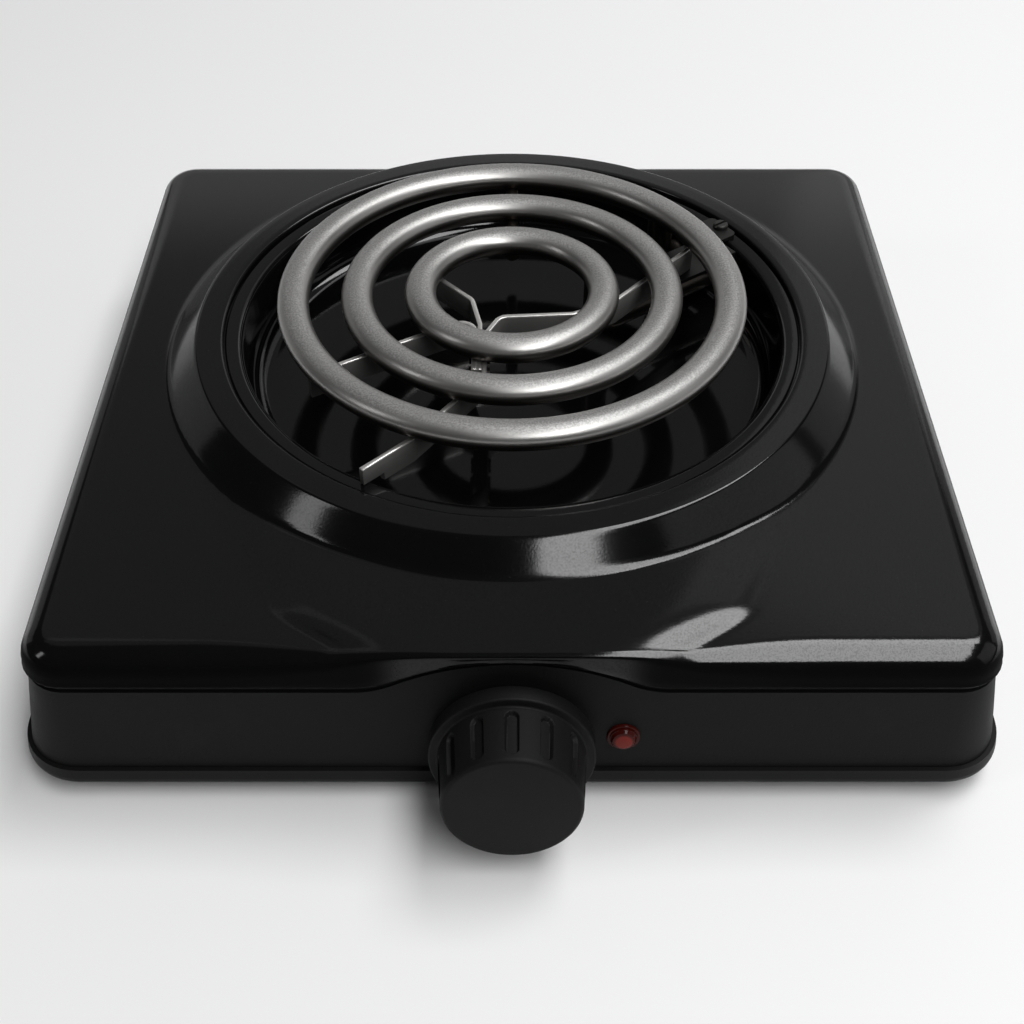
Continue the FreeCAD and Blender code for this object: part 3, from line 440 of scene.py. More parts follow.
def element_steel(name, shades, coil):
    """Sheath of the coil: satin steel, speckled along its crown, and darkened below its centre line as
    painted shade under the rings.
    """
    finish = Finish(name)
    height = finish.node("ShaderNodeSeparateXYZ", {}, {0: finish.where}, "Z")
    crown = coil.height + coil.flat
    top = finish.step(height, crown - coil.speckle_start, crown - coil.speckle_full)
    # Painted shade: the tube darkens below its centre line, where it lies in shade under the rings.
    above_shade = finish.step(height, coil.height - coil.under_shade_full, coil.height + coil.under_shade_end)
    cloud = finish.noise(65.0, 4.0)
    grit = finish.step(finish.noise(1900.0, 3.0, 0.7), 0.36, 0.66)
    flank = finish.mix(above_shade, shades.painted_shade_steel, finish.mix(cloud, scaled(shades.steel, 0.85), shades.steel))
    crest = finish.mix(grit, shades.scale_dark, shades.scale_pale)
    finish.shade(Base_Color=finish.mix(top, flank, crest), Metallic=0.95 - 0.25 * top,
                 Roughness=0.3 + 0.08 * cloud + 0.1 * top)
    finish.bump(finish.noise(1100.0, 3.0, 0.65) * (0.3 + 0.7 * top), 0.00006)
    return finish.material


def strip_steel(name, shades, spider):
    """Oxidised strip with a painted highlight along its upper edge."""
    finish = Finish(name)
    height = finish.node("ShaderNodeSeparateXYZ", {}, {0: finish.where}, "Z")
    # Painted highlight: bright, more metallic colour along the upper edge.
    painted_highlight = finish.step(height, STRIP_HIGH.z - spider.highlight_start, STRIP_HIGH.z - spider.highlight_full)
    cloud = finish.noise(110.0, 4.0)
    fine = finish.noise(900.0, 3.0, 0.6)
    dark = finish.mix(cloud, scaled(shades.strip, 0.65), scaled(shades.strip, 1.2))
    finish.shade(Base_Color=finish.mix(painted_highlight, dark, shades.painted_highlight), Metallic=0.35 + 0.5 * painted_highlight,
                 Roughness=0.34 + 0.2 * fine - 0.12 * painted_highlight)
    finish.bump(fine, 0.00003)
    return finish.material


def lens_plastic(name, shade, apex, sizes):
    """Tinted plastic of the lens, darker towards its rim."""
    finish = Finish(name)
    cloud = finish.noise(420.0, 2.0)
    reach = finish.node("ShaderNodeVectorMath", {"operation": "DISTANCE"},
                        {0: finish.where, 1: apex}, "Value")
    rim = finish.step(reach, sizes.lamp_pale, sizes.lamp_dark)
    tint = finish.mix(cloud, scaled(shade, 0.75), shade)
    finish.shade(Base_Color=finish.mix(rim, tint, scaled(shade, 0.2)), Roughness=0.16 + 0.08 * cloud,
                 Specular_IOR_Level=0.06, Coat_Weight=0.15, Coat_Roughness=0.03)
    finish.bump(cloud, 0.00001)
    return finish.material


def finished(bm, name, body, material, *nodes):
    """Make a mesh a piece that rides on a body and stands for solids."""
    mesh = bpy.data.meshes.new(name)
    bm.to_mesh(mesh)
    bm.free()
    mesh.shade_smooth()
    mesh.set_sharp_from_angle(angle=SHARP_ANGLE)
    mesh.materials.append(material)
    piece = bpy.data.objects.new(name, mesh)
    bpy.context.scene.collection.objects.link(piece)
    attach(piece, body)
    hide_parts(*nodes)


def dress(material, *nodes):
    """Give solids that no mesh replaces their finish."""
    for node in nodes:
        slots = frame["nodes"][node].data.materials
        slots.clear()
        slots.append(material)


def soft_max(first, second, width):
    """The larger of two heights, with the bend between them rounded."""
    part = max(0.0, min(1.0, 0.5 + (first - second) / (2 * width)))
    return second + (first - second) * part + width * part * (1 - part)


def smooth(value, low, high):
    """0 below low, 1 above high, an even S between."""
    part = max(0.0, min(1.0, (value - low) / (high - low)))
    return part * part * (3 - 2 * part)


def rounded(corners, steps=6):
    """Points through (u, v, radius) corners, with arcs where the radius isn't 0."""
    points = []
    for i, (u, v, radius) in enumerate(corners):
        here = Vector((u, v))
        if radius == 0:
            points.append(here)
            continue
        back = (Vector(corners[i - 1][:2]) - here).normalized()
        on = (Vector(corners[(i + 1) % len(corners)][:2]) - here).normalized()
        half = back.angle(on) / 2
        centre = here + (back + on).normalized() * (radius / math.sin(half))
        start = here + back * (radius / math.tan(half)) - centre
        end = here + on * (radius / math.tan(half)) - centre
        sweep = math.atan2(start.cross(end), start.dot(end))
        for k in range(steps + 1):
            points.append(centre + Matrix.Rotation(sweep * k / steps, 2) @ start)
    return points


def lathe(points, steps):
    """Outline in (radius, height) spun into a closed body about the Z axis."""
    bm = bmesh.new()
    verts = [bm.verts.new((radius, 0, height)) for radius, height in points]
    edges = [bm.edges.new(pair) for pair in zip(verts, verts[1:])]
    bmesh.ops.spin(bm, geom=verts + edges, cent=(0, 0, 0), axis=UP, angle=2 * math.pi, steps=steps,
                   use_merge=True)
    bmesh.ops.remove_doubles(bm, verts=bm.verts, dist=1e-6)
    bmesh.ops.recalc_face_normals(bm, faces=bm.faces)
    return bm


def on_wall(bm, seat, lean):
    """Stand a body made about the Z axis on the leaning front wall."""
    bmesh.ops.transform(bm, verts=bm.verts,
                        matrix=Matrix.Translation(seat) @ Matrix.Rotation(math.pi / 2 - lean, 4, "X"))


def tip_of(made):
    """Vertices and edges of the open end that an extrusion has just made."""
    verts = [item for item in made if isinstance(item, bmesh.types.BMVert)]
    tip = set(verts)
    edges = [item for item in made if isinstance(item, bmesh.types.BMEdge) and tip.issuperset(item.verts)]
    return verts, edges


class Wrap:
    """A closed shell grown loop by loop round the coil's axis."""

    def __init__(self, steps, spot):
        self.bm = bmesh.new()
        self.turn = self.bm.verts.layers.float.new("turn")
        # Share of painted shade for each vertex, read by the enamel to keep the skirt dark
        self.painted_shade = self.bm.verts.layers.float.new("painted_shade")
        for vert in bmesh.ops.create_circle(self.bm, segments=steps, radius=1.0)["verts"]:
            vert[self.turn] = math.atan2(vert.co.y, vert.co.x)
            vert.co = spot(vert[self.turn])
        self.first = self.last = self.bm.edges[:]

    def grow(self, spot, painted_shade=lambda turn: 0.0):
        """Add the loop whose point in each direction is spot(direction), and give it the share of painted
        shade that is asked.
        """
        fresh, self.last = tip_of(bmesh.ops.extrude_edge_only(self.bm, edges=self.last)["geom"])
        for vert in fresh:
            vert.co = spot(vert[self.turn])
            vert[self.painted_shade] = painted_shade(vert[self.turn])

    def closed(self):
        """Join the last loop to the first and hand the mesh over."""
        bmesh.ops.bridge_loops(self.bm, edges=self.first + self.last)
        bmesh.ops.recalc_face_normals(self.bm, faces=self.bm.faces)
        return self.bm


def circle(radius, height):
    """Level circle about the coil's axis, as the point in each direction."""
    return lambda turn: Vector((radius * math.cos(turn), COIL_Y + radius * math.sin(turn), height))


class BodyShape:
    """Plan outline and heights of the body's shells."""

    def __init__(self, sizes):
        self.s = sizes
        self.half = (PANEL_HIGH - PANEL_LOW) / 2
        self.top = PAN_HIGH.z + sizes.rim_depth - sizes.hem
        self.foot = sizes.shoulder + self.top - sizes.deck
        self.crest = sizes.shoulder - sizes.crest_round * FLANK_HALF_TAN
        self.flank = self.crest + sizes.crest_round * FLANK_SINE
        self.known = {}

    def outside(self, x, y, inset, side):
        """Distance of a point from the outline drawn in by insets in y and x, negative within it."""
        corner = self.s.corner - (inset + side) / 2
        dx = abs(x) - (self.half.x - side - corner)
        dy = abs(y - BODY_Y) - (self.half.y - inset - corner)
        return math.hypot(max(dx, 0), max(dy, 0)) + min(max(dx, dy), 0) - corner

    def reach(self, turn, inset, side):
        """Distance from the coil's axis to the inset outline in a direction."""
        key = (round(turn, 6), round(inset, 8), round(side, 8))
        if key not in self.known:
            near, far = self.s.rim, 2 * self.half.y
            for _ in range(HALVINGS):
                middle = (near + far) / 2
                if self.outside(middle * math.cos(turn), COIL_Y + middle * math.sin(turn), inset, side) < 0:
                    near = middle
                else:
                    far = middle
            self.known[key] = near
        return self.known[key]

    def at(self, turn, inset, height, flare=0.0):
        """Point of the inset outline in a direction, its sides further out by a flare."""
        return circle(self.reach(turn, inset, inset - flare), height)(turn)

    def dome(self, radius):
        """Height of the raised ring and its flared foot."""
        s = self.s
        toe = self.foot + s.foot_round * FLANK_HALF_TAN
        if radius < self.crest:
            return self.top
        if radius < self.flank:
            return self.top - s.crest_round + math.sqrt(s.crest_round ** 2 - (radius - self.crest) ** 2)
        if radius < toe - s.foot_round * FLANK_SINE:
            return self.top + s.shoulder - radius
        if radius < toe:
            return s.deck + s.foot_round - math.sqrt(s.foot_round ** 2 - (toe - radius) ** 2)
        return s.deck

    def apron(self, x, y):
        """Rise of the apron that runs from the ring to the front edge, above the deck."""
        s = self.s
        inner = COIL_Y - s.rim * math.sqrt(0.5)
        part = (inner - y) / (inner - PANEL_LOW.y)
        if part < 0:
            return 0.0
        crease = s.rim + (s.apron_span / 2 - s.rim) * part
        crease -= s.apron_turn * smooth(part, s.turn_start, 1.0)
        down = max(0.0, (abs(x) - crease) / s.apron_flank + 1)
        return soft_max(s.apron_rise * (1 + part) / 2 * (1 - down ** 3), 0.0, s.hem / 2)

    def height(self, point):
        """Height of the panel's upper face at a point."""
        radius = math.hypot(point.x, point.y - COIL_Y)
        return soft_max(self.dome(radius), self.s.deck + self.apron(point.x, point.y), self.s.hem)

    def rounding(self, turn):
        """Radius between deck and skirt in a direction, tightest above the knob."""
        s = self.s
        rim = self.at(turn, 0, 0)
        if rim.y > BODY_Y:
            return s.edge
        return s.brow_edge + (s.edge - s.brow_edge) * smooth(abs(rim.x), s.brow_near, s.brow_far)

    def arch(self, point):
        """Rise of the skirt's lower edge over the knob."""
        s = self.s
        if point.y > BODY_Y:
            return 0.0
        half = s.arch_span / 2
        crown = (half ** 2 + s.arch_rise ** 2) / (2 * s.arch_rise) - s.arch_blend
        if abs(point.x) < crown * math.sin(2 * math.atan(s.arch_rise / half)):
            return s.arch_rise - crown + math.sqrt(crown ** 2 - point.x ** 2)
        return s.arch_blend - math.sqrt(s.arch_blend ** 2 - max(0.0, half - abs(point.x)) ** 2)


class HOTPLATE_OT_panel(bpy.types.Operator):
    """Model the pressed top panel with its raised ring, front apron and skirt"""
    bl_idname = "hotplate.panel"
    bl_label = "Top Panel"

    def execute(self, context):
        s = context.scene.hotplate_shell
        shape = BodyShape(s)
        top, crest, flank = shape.top, shape.crest, shape.flank

        def brow(turn):
            """Inset at which the edge starts to round, in a direction."""
            return shape.rounding(turn) + s.draft

        def deck(part):
            """Loop of the upper face, from the ring's flank at 0 to the edge at 1."""
            def spot(turn):
                point = circle(flank + (shape.reach(turn, brow(turn), brow(turn)) - flank) * part, 0)(turn)
                point.z = shape.height(point)
                return point
            return spot

        def under(part):
            """The same loop on the underside of the sheet."""
            return lambda turn: deck(part)(turn) - UP * s.hem

        def ends(turn):
            """Heights where the edge starts to round and where the skirt ends."""
            return shape.height(shape.at(turn, brow(turn), 0)), s.seam + shape.arch(shape.at(turn, 0, 0))

        def edge(part):
            """Loop over the rounded edge, from the deck at 0 to the skirt at 1."""
            def spot(turn):
                high, low = ends(turn)
                radius = min(shape.rounding(turn), high - low - s.hem / 2)
                sweep = part * math.pi / 2
                return shape.at(turn, s.draft + radius * (1 - math.sin(sweep)),
                                high - radius * (1 - math.cos(sweep)))
            return spot

        def skirt(part, inset, lift):
            """Loop down the skirt, at an inset, to an end that lies a lift above its lower edge."""
            def spot(turn):
                high, low = ends(turn)
                start = max(high - shape.rounding(turn), low + s.hem / 2)
                return shape.at(turn, inset, start + (low + lift - start) * part)
            return spot

        def painted_shade_share(part):
            """Share of painted shade, a matte finish that keeps the edge and skirt dark; it is halved above
            the arch.
            """
            def amount(turn):
                arch = shape.arch(shape.at(turn, 0, 0))
                return part * (1 - smooth(arch, 0, s.arch_rise / 2) / 2)
            return amount

        floor = top - s.rim_depth
        wrap = Wrap(s.steps, circle(s.rim + s.hem, floor - s.hem))
        wrap.grow(circle(s.rim - s.lip, floor - s.hem))
        wrap.grow(circle(s.rim - s.lip, floor))
        wrap.grow(circle(s.rim, floor))
        for k in range(s.round_loops + 1):
            sweep = math.pi / 2 * k / s.round_loops
            wrap.grow(circle(s.rim + s.rim_round * (1 - math.cos(sweep)),
                             top - s.rim_round * (1 - math.sin(sweep))))
        inner = s.rim + s.rim_round
        for k in range(1, s.ring_loops + 1):
            wrap.grow(circle(inner + (crest - inner) * k / s.ring_loops, top))
        for k in range(1, s.round_loops + 1):
            radius = crest + (flank - crest) * k / s.round_loops
            wrap.grow(circle(radius, shape.dome(radius)))
        for k in range(1, s.deck_loops + 1):
            wrap.grow(deck(k / s.deck_loops))
        # The lower part of the rounded edge and the whole skirt get painted shade; the hem stays glossy.
        for k in range(1, s.edge_loops + 1):
            part = k / s.edge_loops
            wrap.grow(edge(part), painted_shade_share(smooth(part, s.edge_shade_start, s.edge_shade_full)))
        for k in range(1, s.skirt_loops + 1):
            part = k / s.skirt_loops
            wrap.grow(skirt(part, s.draft * (1 - part), s.hem / 2), painted_shade_share(1.0))
        for inset, lift in HEM_ROLL:
            wrap.grow(skirt(1, s.hem * inset, s.hem * lift))
        for k in range(s.deck_loops, -1, -UNDERSIDE_SKIP):
            wrap.grow(under(k / s.deck_loops))
        shades = context.scene.hotplate_finishes
        finished(wrap.closed(), "panel_pressing", "housing",
                 enamel("panel_enamel", shades.enamel, rough=0.085, grain=0.00001), "top_panel")
        return {"FINISHED"}


class HOTPLATE_OT_band(bpy.types.Operator):
    """Model the side band that rises behind the arch"""
    bl_idname = "hotplate.band"
    bl_label = "Side Band"

    def execute(self, context):
        s = context.scene.hotplate_shell
        shape = BodyShape(s)
        low = BASE_HIGH.z
        wall = 2 * s.hem

        def wall_at(part, depth, tucked=False):
            """Loop between the base and the shadow gap, or the tucked top, at a depth in the wall."""
            def spot(turn):
                arch = shape.arch(shape.at(turn, s.band_inset, 0))
                high = s.seam + (max(s.band_tuck, arch + s.hem) if tucked else arch - s.reveal)
                height = low + (high - low) * part
                drop = s.seam - height
                front = drop * math.tan(s.band_lean)
                flare = drop * math.tan(s.side_lean) - front
                return shape.at(turn, s.band_inset - front + depth, height, flare)
            return spot

        wrap = Wrap(s.steps, wall_at(0, wall))
        for k in range(s.band_loops + 1):
            wrap.grow(wall_at(k / s.band_loops, 0))
        wrap.grow(wall_at(1, s.reveal_depth))
        wrap.grow(wall_at(1, s.reveal_depth, tucked=True))
        wrap.grow(wall_at(1, wall, tucked=True))
        shades = context.scene.hotplate_finishes
        finished(wrap.closed(), "side_wall", "housing",
                 moulding("body_plastic", shades.band, rough=0.55, grain=0.00006), "side_band")
        return {"FINISHED"}


class HOTPLATE_OT_drip_pan(bpy.types.Operator):
    """Spin the drip pan and open the window for the cold ends"""
    bl_idname = "hotplate.drip_pan"
    bl_label = "Drip Pan"

    def execute(self, context):
        s = context.scene.hotplate_pan
        facing = context.scene.hotplate_coil.facing
        rim = (PAN_HIGH.x - PAN_LOW.x) / 2
        floor = PAN_LOW.z + s.sheet
        lean = math.tan(s.draft)

        def wall(height, out):
            """Corner of the outline on the leaning wall, out from its inside."""
            return (s.radius - (PAN_HIGH.z - height) * lean + out, height, 0)

        inside = [(0, floor, 0), (*wall(floor, 0)[:2], s.floor_round),
                  wall(s.window_low, 0), wall(s.window_high, 0),
                  (s.radius, PAN_HIGH.z, s.lip_round), (rim - s.sheet / 2, PAN_HIGH.z, 0)]
        outside = [(rim, PAN_HIGH.z - s.sheet / 2, 0), (rim, PAN_HIGH.z - s.sheet, 0),
                   (s.radius + s.sheet, PAN_HIGH.z - s.sheet, 0), wall(s.window_high, s.sheet),
                   wall(s.window_low, s.sheet), (*wall(PAN_LOW.z, s.sheet)[:2], s.floor_round + s.sheet),
                   (0, PAN_LOW.z, 0)]
        bm = lathe(rounded(inside + outside, steps=8), s.steps)
        bmesh.ops.rotate(bm, verts=bm.verts, matrix=Matrix.Rotation(facing, 3, "Z"))
        ahead = Matrix.Rotation(facing, 3, "Z") @ AHEAD
        pane = []
        for face in bm.faces:
            middle = face.calc_center_median()
            if (s.window_low < middle.z < s.window_high and middle.dot(ahead) > 0
                    and abs(middle.dot(UP.cross(ahead))) < s.window_half):
                pane.append(face)
        bmesh.ops.delete(bm, geom=pane, context="FACES")
        bmesh.ops.bridge_loops(bm, edges=[edge for edge in bm.edges if edge.is_boundary])
        bmesh.ops.recalc_face_normals(bm, faces=bm.faces)
        bmesh.ops.translate(bm, verts=bm.verts, vec=(0, COIL_Y, 0))
        shades = context.scene.hotplate_finishes
        finished(bm, "pan_pressing", "housing",
                 enamel("pan_enamel", shades.enamel, rough=0.03, grain=0.000006), "drip_pan")
        return {"FINISHED"}


class HOTPLATE_OT_coil(bpy.types.Operator):
    """Spin the rings of the heating coil and draw the cold ends under them"""
    bl_idname = "hotplate.coil"
    bl_label = "Heating Coil"

    def execute(self, context):
        s = context.scene.hotplate_coil
        bm = bmesh.new()
        for k in range(s.rings):
            self.ring(bm, s, s.radius - k * s.pitch)
        inner = s.radius - (s.rings - 1) * s.pitch
        self.cold_end(bm, s, s.radius, s.lead_spacing / 2)
        self.cold_end(bm, s, inner, -s.lead_spacing / 2)
        span = s.radius - inner + 2 * s.link
        bar = (Matrix.Rotation(s.link_turn - s.facing, 4, "Z")
               @ Matrix.Translation((s.radius + s.link - span / 2, 0, s.height - s.tube))
               @ Matrix.Rotation(math.pi / 2, 4, "Y"))
        bmesh.ops.create_cone(bm, cap_ends=True, segments=24, radius1=s.link, radius2=s.link,
                              depth=span, matrix=bar)
        bmesh.ops.recalc_face_normals(bm, faces=bm.faces)
        bmesh.ops.transform(bm, verts=bm.verts,
                            matrix=Matrix.Translation((0, COIL_Y, 0)) @ Matrix.Rotation(s.facing, 4, "Z"))
        finished(bm, "element_rings", "coil",
                 element_steel("element_steel", context.scene.hotplate_finishes, s), "heating_coil")
        return {"FINISHED"}

    def ring(self, bm, s, radius):
        """One closed ring with a flattened crown."""
        verts = []
        for k in range(s.section):
            turn = 2 * math.pi * k / s.section
            half = s.flat if turn < math.pi else s.tube
            spot = (radius + s.tube * math.cos(turn), 0, s.height + half * math.sin(turn))
            verts.append(bm.verts.new(spot))
        edges = [bm.edges.new(pair) for pair in zip(verts, verts[1:] + verts[:1])]
        bmesh.ops.spin(bm, geom=verts + edges, cent=(0, 0, 0), axis=UP, angle=2 * math.pi, steps=s.steps,
                       use_merge=True)

    def cold_end(self, bm, s, radius, y):
        """Lead that comes in level and bends up into a ring."""
        x = math.sqrt(radius ** 2 - y ** 2)
        low = s.height - s.lead_drop
        spot = Matrix.Translation((s.lead_reach, y, low)) @ Matrix.Rotation(math.pi / 2, 4, "Y")
        verts = bmesh.ops.create_circle(bm, cap_ends=True, segments=s.section, radius=s.lead,
                                        matrix=spot)["verts"]
        edges = list({edge for vert in verts for edge in vert.link_edges})
        made = bmesh.ops.extrude_edge_only(bm, edges=edges)["geom"]
        verts, edges = tip_of(made)
        bmesh.ops.translate(bm, verts=verts, vec=(x + s.lead_bend - s.lead_reach, 0, 0))
        pivot = (x + s.lead_bend, y, low + s.lead_bend)
        made = bmesh.ops.spin(bm, geom=verts + edges, cent=pivot, axis=(0, 1, 0), angle=math.pi / 2,
                              steps=12)["geom_last"]
        verts, edges = tip_of(made)
        made = bmesh.ops.extrude_edge_only(bm, edges=edges)["geom"]
        verts, edges = tip_of(made)
        bmesh.ops.translate(bm, verts=verts, vec=(0, 0, s.lead_drop - s.lead_bend))
        bmesh.ops.edgeloop_fill(bm, edges=edges)


class HOTPLATE_OT_spider(bpy.types.Operator):
    """Bend the strips that carry the coil"""
    bl_idname = "hotplate.spider"
    bl_label = "Spider Strips"

    def execute(self, context):
        s = context.scene.hotplate_spider

        def spine(layer):
            """Ends of the run that a strip shares with its neighbours."""
            x = s.spine[0] - layer * s.thickness
            return [Vector((x, s.spine_start[layer])),
                    Vector((x, s.spine[1] + (s.spine_tail if layer else 0)))]

        dark = strip_steel("strip_steel", context.scene.hotplate_finishes, s)
        main = [s.seat, s.arm_bend, s.arm_waist, s.arm_hub, *spine(0), s.leg_knee, s.leg_toe]
        leg = self.strip(s, main)
        self.notch(leg, s)
        finished(leg, "spider_main", "coil", dark, "spider_main_strip")
        back = self.strip(s, [s.back_tip, s.back_knee, *spine(1)])
        finished(back, "spider_back", "coil", dark, "spider_back_strip")
        left = self.strip(s, [s.left_tip, s.left_knee, *spine(2)])
        finished(left, "spider_left", "coil", dark, "spider_left_strip")
        return {"FINISHED"}

    def notch(self, bm, s):
        """Raise the underside of the front leg over the pan's flange."""
        toe = Vector((*s.leg_toe[:2], 0)).normalized()
        for reach in (s.notch - s.edge, s.notch):
            bmesh.ops.bisect_plane(bm, geom=bm.verts[:] + bm.edges[:] + bm.faces[:],
                                   plane_co=toe * reach + Vector((0, COIL_Y, 0)), plane_no=toe)
        rise = PAN_HIGH.z + s.notch_gap - STRIP_LOW.z
        for vert in bm.verts:
            beyond = (vert.co - Vector((0, COIL_Y, 0))).dot(toe) > s.notch - s.edge / 2
            if beyond and vert.co.z < STRIP_LOW.z + rise:
                vert.co.z += rise

    def strip(self, s, path):
        """Strip on edge that follows a path about the coil's axis."""
        half = s.thickness / 2
        path = [Vector(point[:2]) for point in path]
        left, right = [], []
        for i, here in enumerate(path):
            before = (here - path[i - 1] if i else path[1] - here).normalized()
            after = (path[i + 1] - here if i + 1 < len(path) else before).normalized()
            normal = Vector((-before.y, before.x))
            mitre = (normal + Vector((-after.y, after.x))).normalized()
            offset = mitre * (half / mitre.dot(normal))
            inner = math.copysign(half, before.cross(after))
            bent = 0 < i < len(path) - 1
            left.append((*(here + offset), s.bend - inner if bent else 0))
            right.append((*(here - offset), s.bend + inner if bent else 0))
        bm = bmesh.new()
        low, high = STRIP_LOW.z, STRIP_HIGH.z
        face = bm.faces.new([bm.verts.new((x, y + COIL_Y, low)) for x, y in rounded(left + right[::-1])])
        made = bmesh.ops.extrude_face_region(bm, geom=[face])["geom"]
        bmesh.ops.translate(bm, verts=[item for item in made if isinstance(item, bmesh.types.BMVert)],
                            vec=(0, 0, high - low))
        level = [edge for edge in bm.edges if abs(edge.verts[0].co.z - edge.verts[1].co.z) < s.edge]
        bmesh.ops.bevel(bm, geom=level, offset=s.edge, segments=2, profile=0.5, material=-1, affect="EDGES")
        bmesh.ops.recalc_face_normals(bm, faces=bm.faces)
        return bm


class HOTPLATE_OT_knob(bpy.types.Operator):
    """Spin the knob and press its grips in"""
    bl_idname = "hotplate.knob"
    bl_label = "Control Knob"

    def execute(self, context):
        s = context.scene.hotplate_knob
        brow = s.gap + s.flange_depth
        taper = (s.root - s.face) / (s.reach - brow)
        outline = [(0, s.gap, 0), (s.flange, s.gap, s.face_round / 4), (s.flange, brow, s.face_round / 2),
                   (s.root, brow, s.face_round / 2)]
        for k in range(1, s.rungs):
            height = brow + (s.reach - s.face_round - brow) * k / s.rungs
            outline.append((s.root - (height - brow) * taper, height, 0))
        outline += [(s.face, s.reach, s.face_round), (0, s.reach, 0)]
        bm = lathe(rounded(outline, steps=5), s.grips * s.grip_steps)
        pitch = 2 * math.pi / s.grips
        near, far = s.grip_start + s.grip_width / 2, s.grip_end - s.grip_width / 2
        for vert in bm.verts:
            radius = math.hypot(vert.co.x, vert.co.y)
            if radius < s.face - s.face_round or vert.co.z < brow + s.face_round / 2:
                continue
            turn = math.remainder(math.atan2(vert.co.y, vert.co.x) - math.pi / 2, pitch)
            along = vert.co.z - max(near, min(far, vert.co.z))
            inside = s.grip_width / 2 - math.hypot(turn * radius, along)
            depth = s.grip_depth * smooth(inside, 0, s.grip_wall)
            vert.co.x *= 1 - depth / radius
            vert.co.y *= 1 - depth / radius
        on_wall(bm, s.seat, context.scene.hotplate_shell.band_lean)
        shades = context.scene.hotplate_finishes
        finished(bm, "knob_cap", "control",
                 moulding("knob_plastic", shades.knob, rough=0.5, grain=0.00004), "knob")
        return {"FINISHED"}


class HOTPLATE_OT_lamp(bpy.types.Operator):
    """Spin the faceted lens of the indicator lamp"""
    bl_idname = "hotplate.lamp"
    bl_label = "Indicator Lamp"

    def execute(self, context):
        s = context.scene.hotplate_knob
        outline = [(0, 0, 0), (s.lamp_flange, 0, 0),
                   (s.lamp_flange, s.lamp_flange_depth, s.lamp_flange_depth / 3),
                   (s.lamp, s.lamp_flange_depth, 0)]
        for k in range(s.lamp_rings):
            ring = 1 - k / s.lamp_rings
            crown = s.lamp_flange_depth + s.lamp_dome * math.sqrt(1 - (ring * s.lamp_bulge) ** 2)
            outline.append((s.lamp * ring, crown, 0))
            outline.append((s.lamp * (ring - s.lamp_flat / s.lamp_rings), crown, 0))
        outline.append((0, s.lamp_flange_depth + s.lamp_dome, 0))
        bm = lathe(rounded(outline, steps=4), s.lamp_steps)
        lean = context.scene.hotplate_shell.band_lean
        on_wall(bm, s.lamp_seat, lean)
        ahead = Vector((0, -math.cos(lean), math.sin(lean)))
        apex = Vector(s.lamp_seat) + ahead * (s.lamp_flange_depth + s.lamp_dome)
        shades = context.scene.hotplate_finishes
        finished(bm, "lamp_dome", "housing", lens_plastic("lamp_red", shades.lamp, apex, s), "lamp_lens")
        return {"FINISHED"}


class HOTPLATE_OT_hardware(bpy.types.Operator):
    """Finish the base, the hinge, the supply entry and the pieces inside the body"""
    bl_idname = "hotplate.hardware"
    bl_label = "Base and Hardware"

    def execute(self, context):
        shades = context.scene.hotplate_finishes
        dress(moulding("base_plastic", shades.band, rough=0.45, grain=0.00003),
              "base_pan", "cord_gland", "gland_nut")
        dress(moulding("foot_rubber", shades.rubber, rough=0.7, grain=0.00005), "feet")
        dress(steel("screw_steel", shades.zinc, rough=0.3), "tie_screws", "weld_nuts", "block_screw",
              "control_shaft", "thermostat_bracket", "lamp_clip", "hinge_pin")
        dress(steel("black_screw", shades.bracket, rough=0.45, metallic=0.6),
              "thermostat_screws", "bracket_screw")
        dress(steel("bracket_steel", shades.bracket, rough=0.4),
              "spider_rivets", "coil_bracket", "hinge_bracket")
        dress(moulding("ceramic", shades.ceramic, rough=0.4, grain=0.00002), "lead_beads")
        dress(steel("contact_brass", shades.brass, rough=0.3), "lead_tags", "thermostat_blades")
        dress(moulding("phenolic", shades.phenolic, rough=0.35, grain=0.00002),
              "thermostat_body", "lamp_holder", "terminal_block")
        return {"FINISHED"}


SoftBox = namedtuple("SoftBox", "name where target width height watts")
SOFT_BOXES = [
    SoftBox("strip_box", (0.72, -0.95, 2.0), (0.72, -0.95, 0), 0.8, 2.7, 47.0),
    SoftBox("top_box", (0.85, 0.75, 2.0), (0.85, 0.75, 0), 1.1, 0.7, 18.0),
    SoftBox("left_box", (-1.99, -0.76, 1.36), (0, 0, 0.05), 0.34, 0.9, 3.0),
    SoftBox("left_top_wall", (-0.8, 0.69, 2.03), (0, 0, 0), 0.9, 0.8, 0.3),
    SoftBox("back_box", (0.3, 2.5, 0.85), (0.3, 0, 0.85), 4.0, 1.5, 7.2),
    SoftBox("back_wall", (0.0, 2.7, 2.6), (0, 0, 0.6), 5.0, 3.0, 6.9),
    SoftBox("back_right_wall", (1.1, 2.4, 1.7), (0, 0, 0.05), 1.0, 1.9, 1.75),
    SoftBox("right_wall", (2.4, -0.5, 1.2), (0, 0, 0.3), 2.2, 1.8, 4.4),
    SoftBox("left_side_wall", (-2.1, 1.5, 0.5), (0, 0, 0.1), 1.8, 1.0, 1.4),
    SoftBox("right_side_wall", (2.1, 1.5, 0.5), (0, 0, 0.1), 1.8, 1.0, 1.4),
]


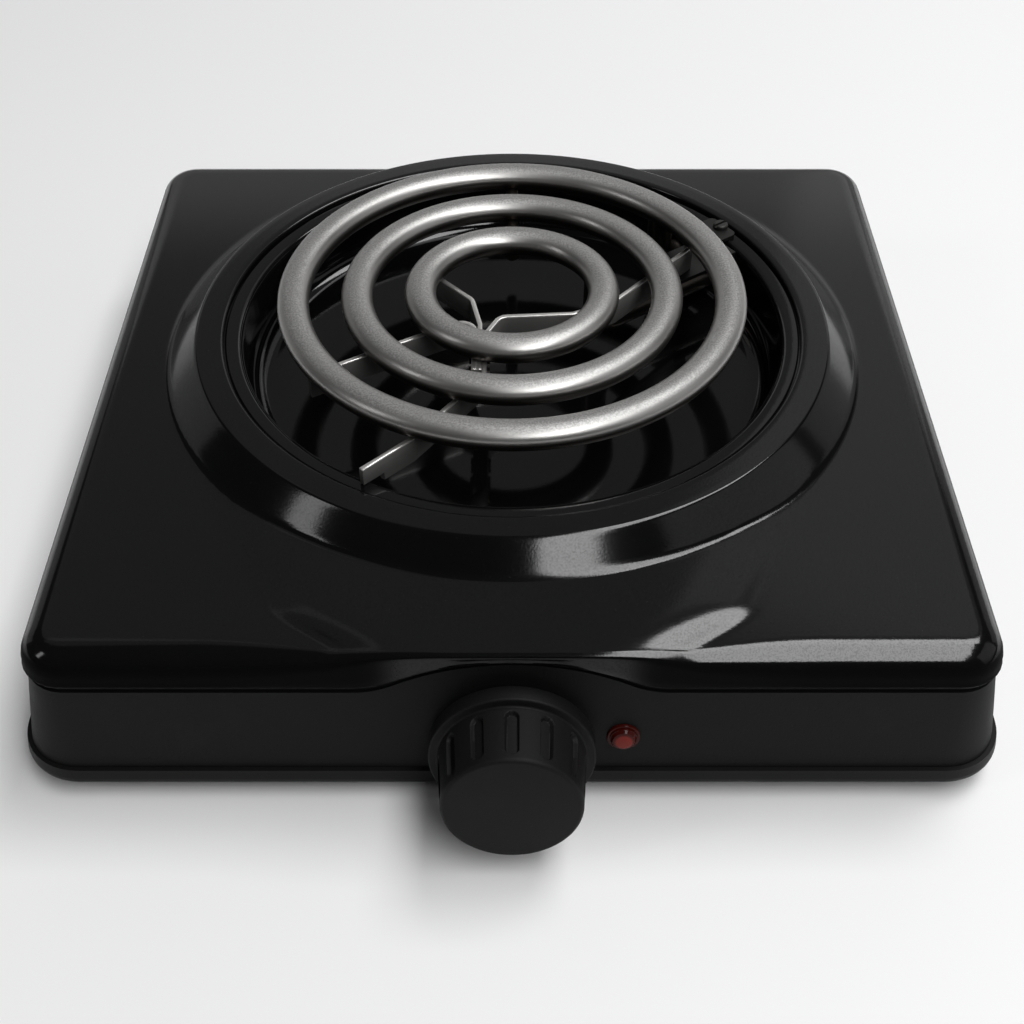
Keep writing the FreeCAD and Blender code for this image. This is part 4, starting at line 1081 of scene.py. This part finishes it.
class HOTPLATE_OT_studio(bpy.types.Operator):
    """Set the camera, the pale floor and the soft lights"""
    bl_idname = "hotplate.studio"
    bl_label = "Studio"

    def execute(self, context):
        s = context.scene.hotplate_studio
        bm = bmesh.new()
        bmesh.ops.create_grid(bm, x_segments=1, y_segments=1, size=s.floor_size / 2)
        mesh = bpy.data.meshes.new("floor")
        bm.to_mesh(mesh)
        bm.free()
        finish = Finish("counter")
        finish.shade(Base_Color=finish.mix(finish.noise(3.0), s.floor, scaled(s.floor, 0.98)),
                     Roughness=0.6)
        mesh.materials.append(finish.material)
        self.put(bpy.data.objects.new("floor", mesh), (0, 0, 0))
        for box in SOFT_BOXES:
            self.light(box)
        camera = bpy.data.objects.new("camera", bpy.data.cameras.new("camera"))
        camera.data.lens = s.lens
        camera.data.sensor_width = s.sensor
        camera.rotation_euler = (math.pi / 2 - s.dip, 0, 0)
        self.put(camera, s.eye)
        context.scene.camera = camera
        world = bpy.data.worlds.new("studio")
        world.use_nodes = True
        backdrop = world.node_tree.nodes["Background"]
        backdrop.inputs["Color"].default_value = (*s.sky, 1.0)
        backdrop.inputs["Strength"].default_value = s.sky_strength
        context.scene.world = world
        context.scene.view_settings.view_transform = "Standard"
        return {"FINISHED"}

    def put(self, thing, where):
        """Place a thing as part of the stage."""
        thing.location = where
        bpy.context.scene.collection.objects.link(thing)

    def light(self, box):
        """Hang one soft box and aim it."""
        lamp = bpy.data.lights.new(box.name, "AREA")
        lamp.shape = "RECTANGLE"
        lamp.size = box.width
        lamp.size_y = box.height
        lamp.energy = box.watts
        thing = bpy.data.objects.new(box.name, lamp)
        aim = Vector(box.target) - Vector(box.where)
        thing.rotation_euler = aim.to_track_quat("-Z", "Y").to_euler()
        self.put(thing, box.where)


OPERATORS = [HOTPLATE_OT_panel, HOTPLATE_OT_band, HOTPLATE_OT_drip_pan, HOTPLATE_OT_coil,
             HOTPLATE_OT_spider, HOTPLATE_OT_knob, HOTPLATE_OT_lamp, HOTPLATE_OT_hardware,
             HOTPLATE_OT_studio]
GROUPS = {"hotplate_shell": ShellSizes, "hotplate_pan": PanSizes, "hotplate_coil": CoilSizes,
          "hotplate_spider": SpiderSizes, "hotplate_knob": KnobSizes, "hotplate_finishes": Finishes,
          "hotplate_studio": StudioSettings}


class HOTPLATE_PT_sidebar(bpy.types.Panel):
    """Steps that build the hot plate's looks"""
    bl_label = "Hot Plate"
    bl_space_type = "VIEW_3D"
    bl_region_type = "UI"
    bl_category = "Hot Plate"

    def draw(self, context):
        for step in OPERATORS:
            self.layout.operator(step.bl_idname)


def register():
    for name, group in GROUPS.items():
        bpy.utils.register_class(group)
        setattr(bpy.types.Scene, name, bpy.props.PointerProperty(type=group))
    for cls in [*OPERATORS, HOTPLATE_PT_sidebar]:
        bpy.utils.register_class(cls)


def unregister():
    for cls in [HOTPLATE_PT_sidebar, *reversed(OPERATORS)]:
        bpy.utils.unregister_class(cls)
    for name, group in reversed(GROUPS.items()):
        delattr(bpy.types.Scene, name)
        bpy.utils.unregister_class(group)


def main():
    """Model each piece in order."""
    register()
    for step in OPERATORS:
        family, name = step.bl_idname.split(".")
        getattr(getattr(bpy.ops, family), name)()
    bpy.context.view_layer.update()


if __name__ == "__main__":
    main()
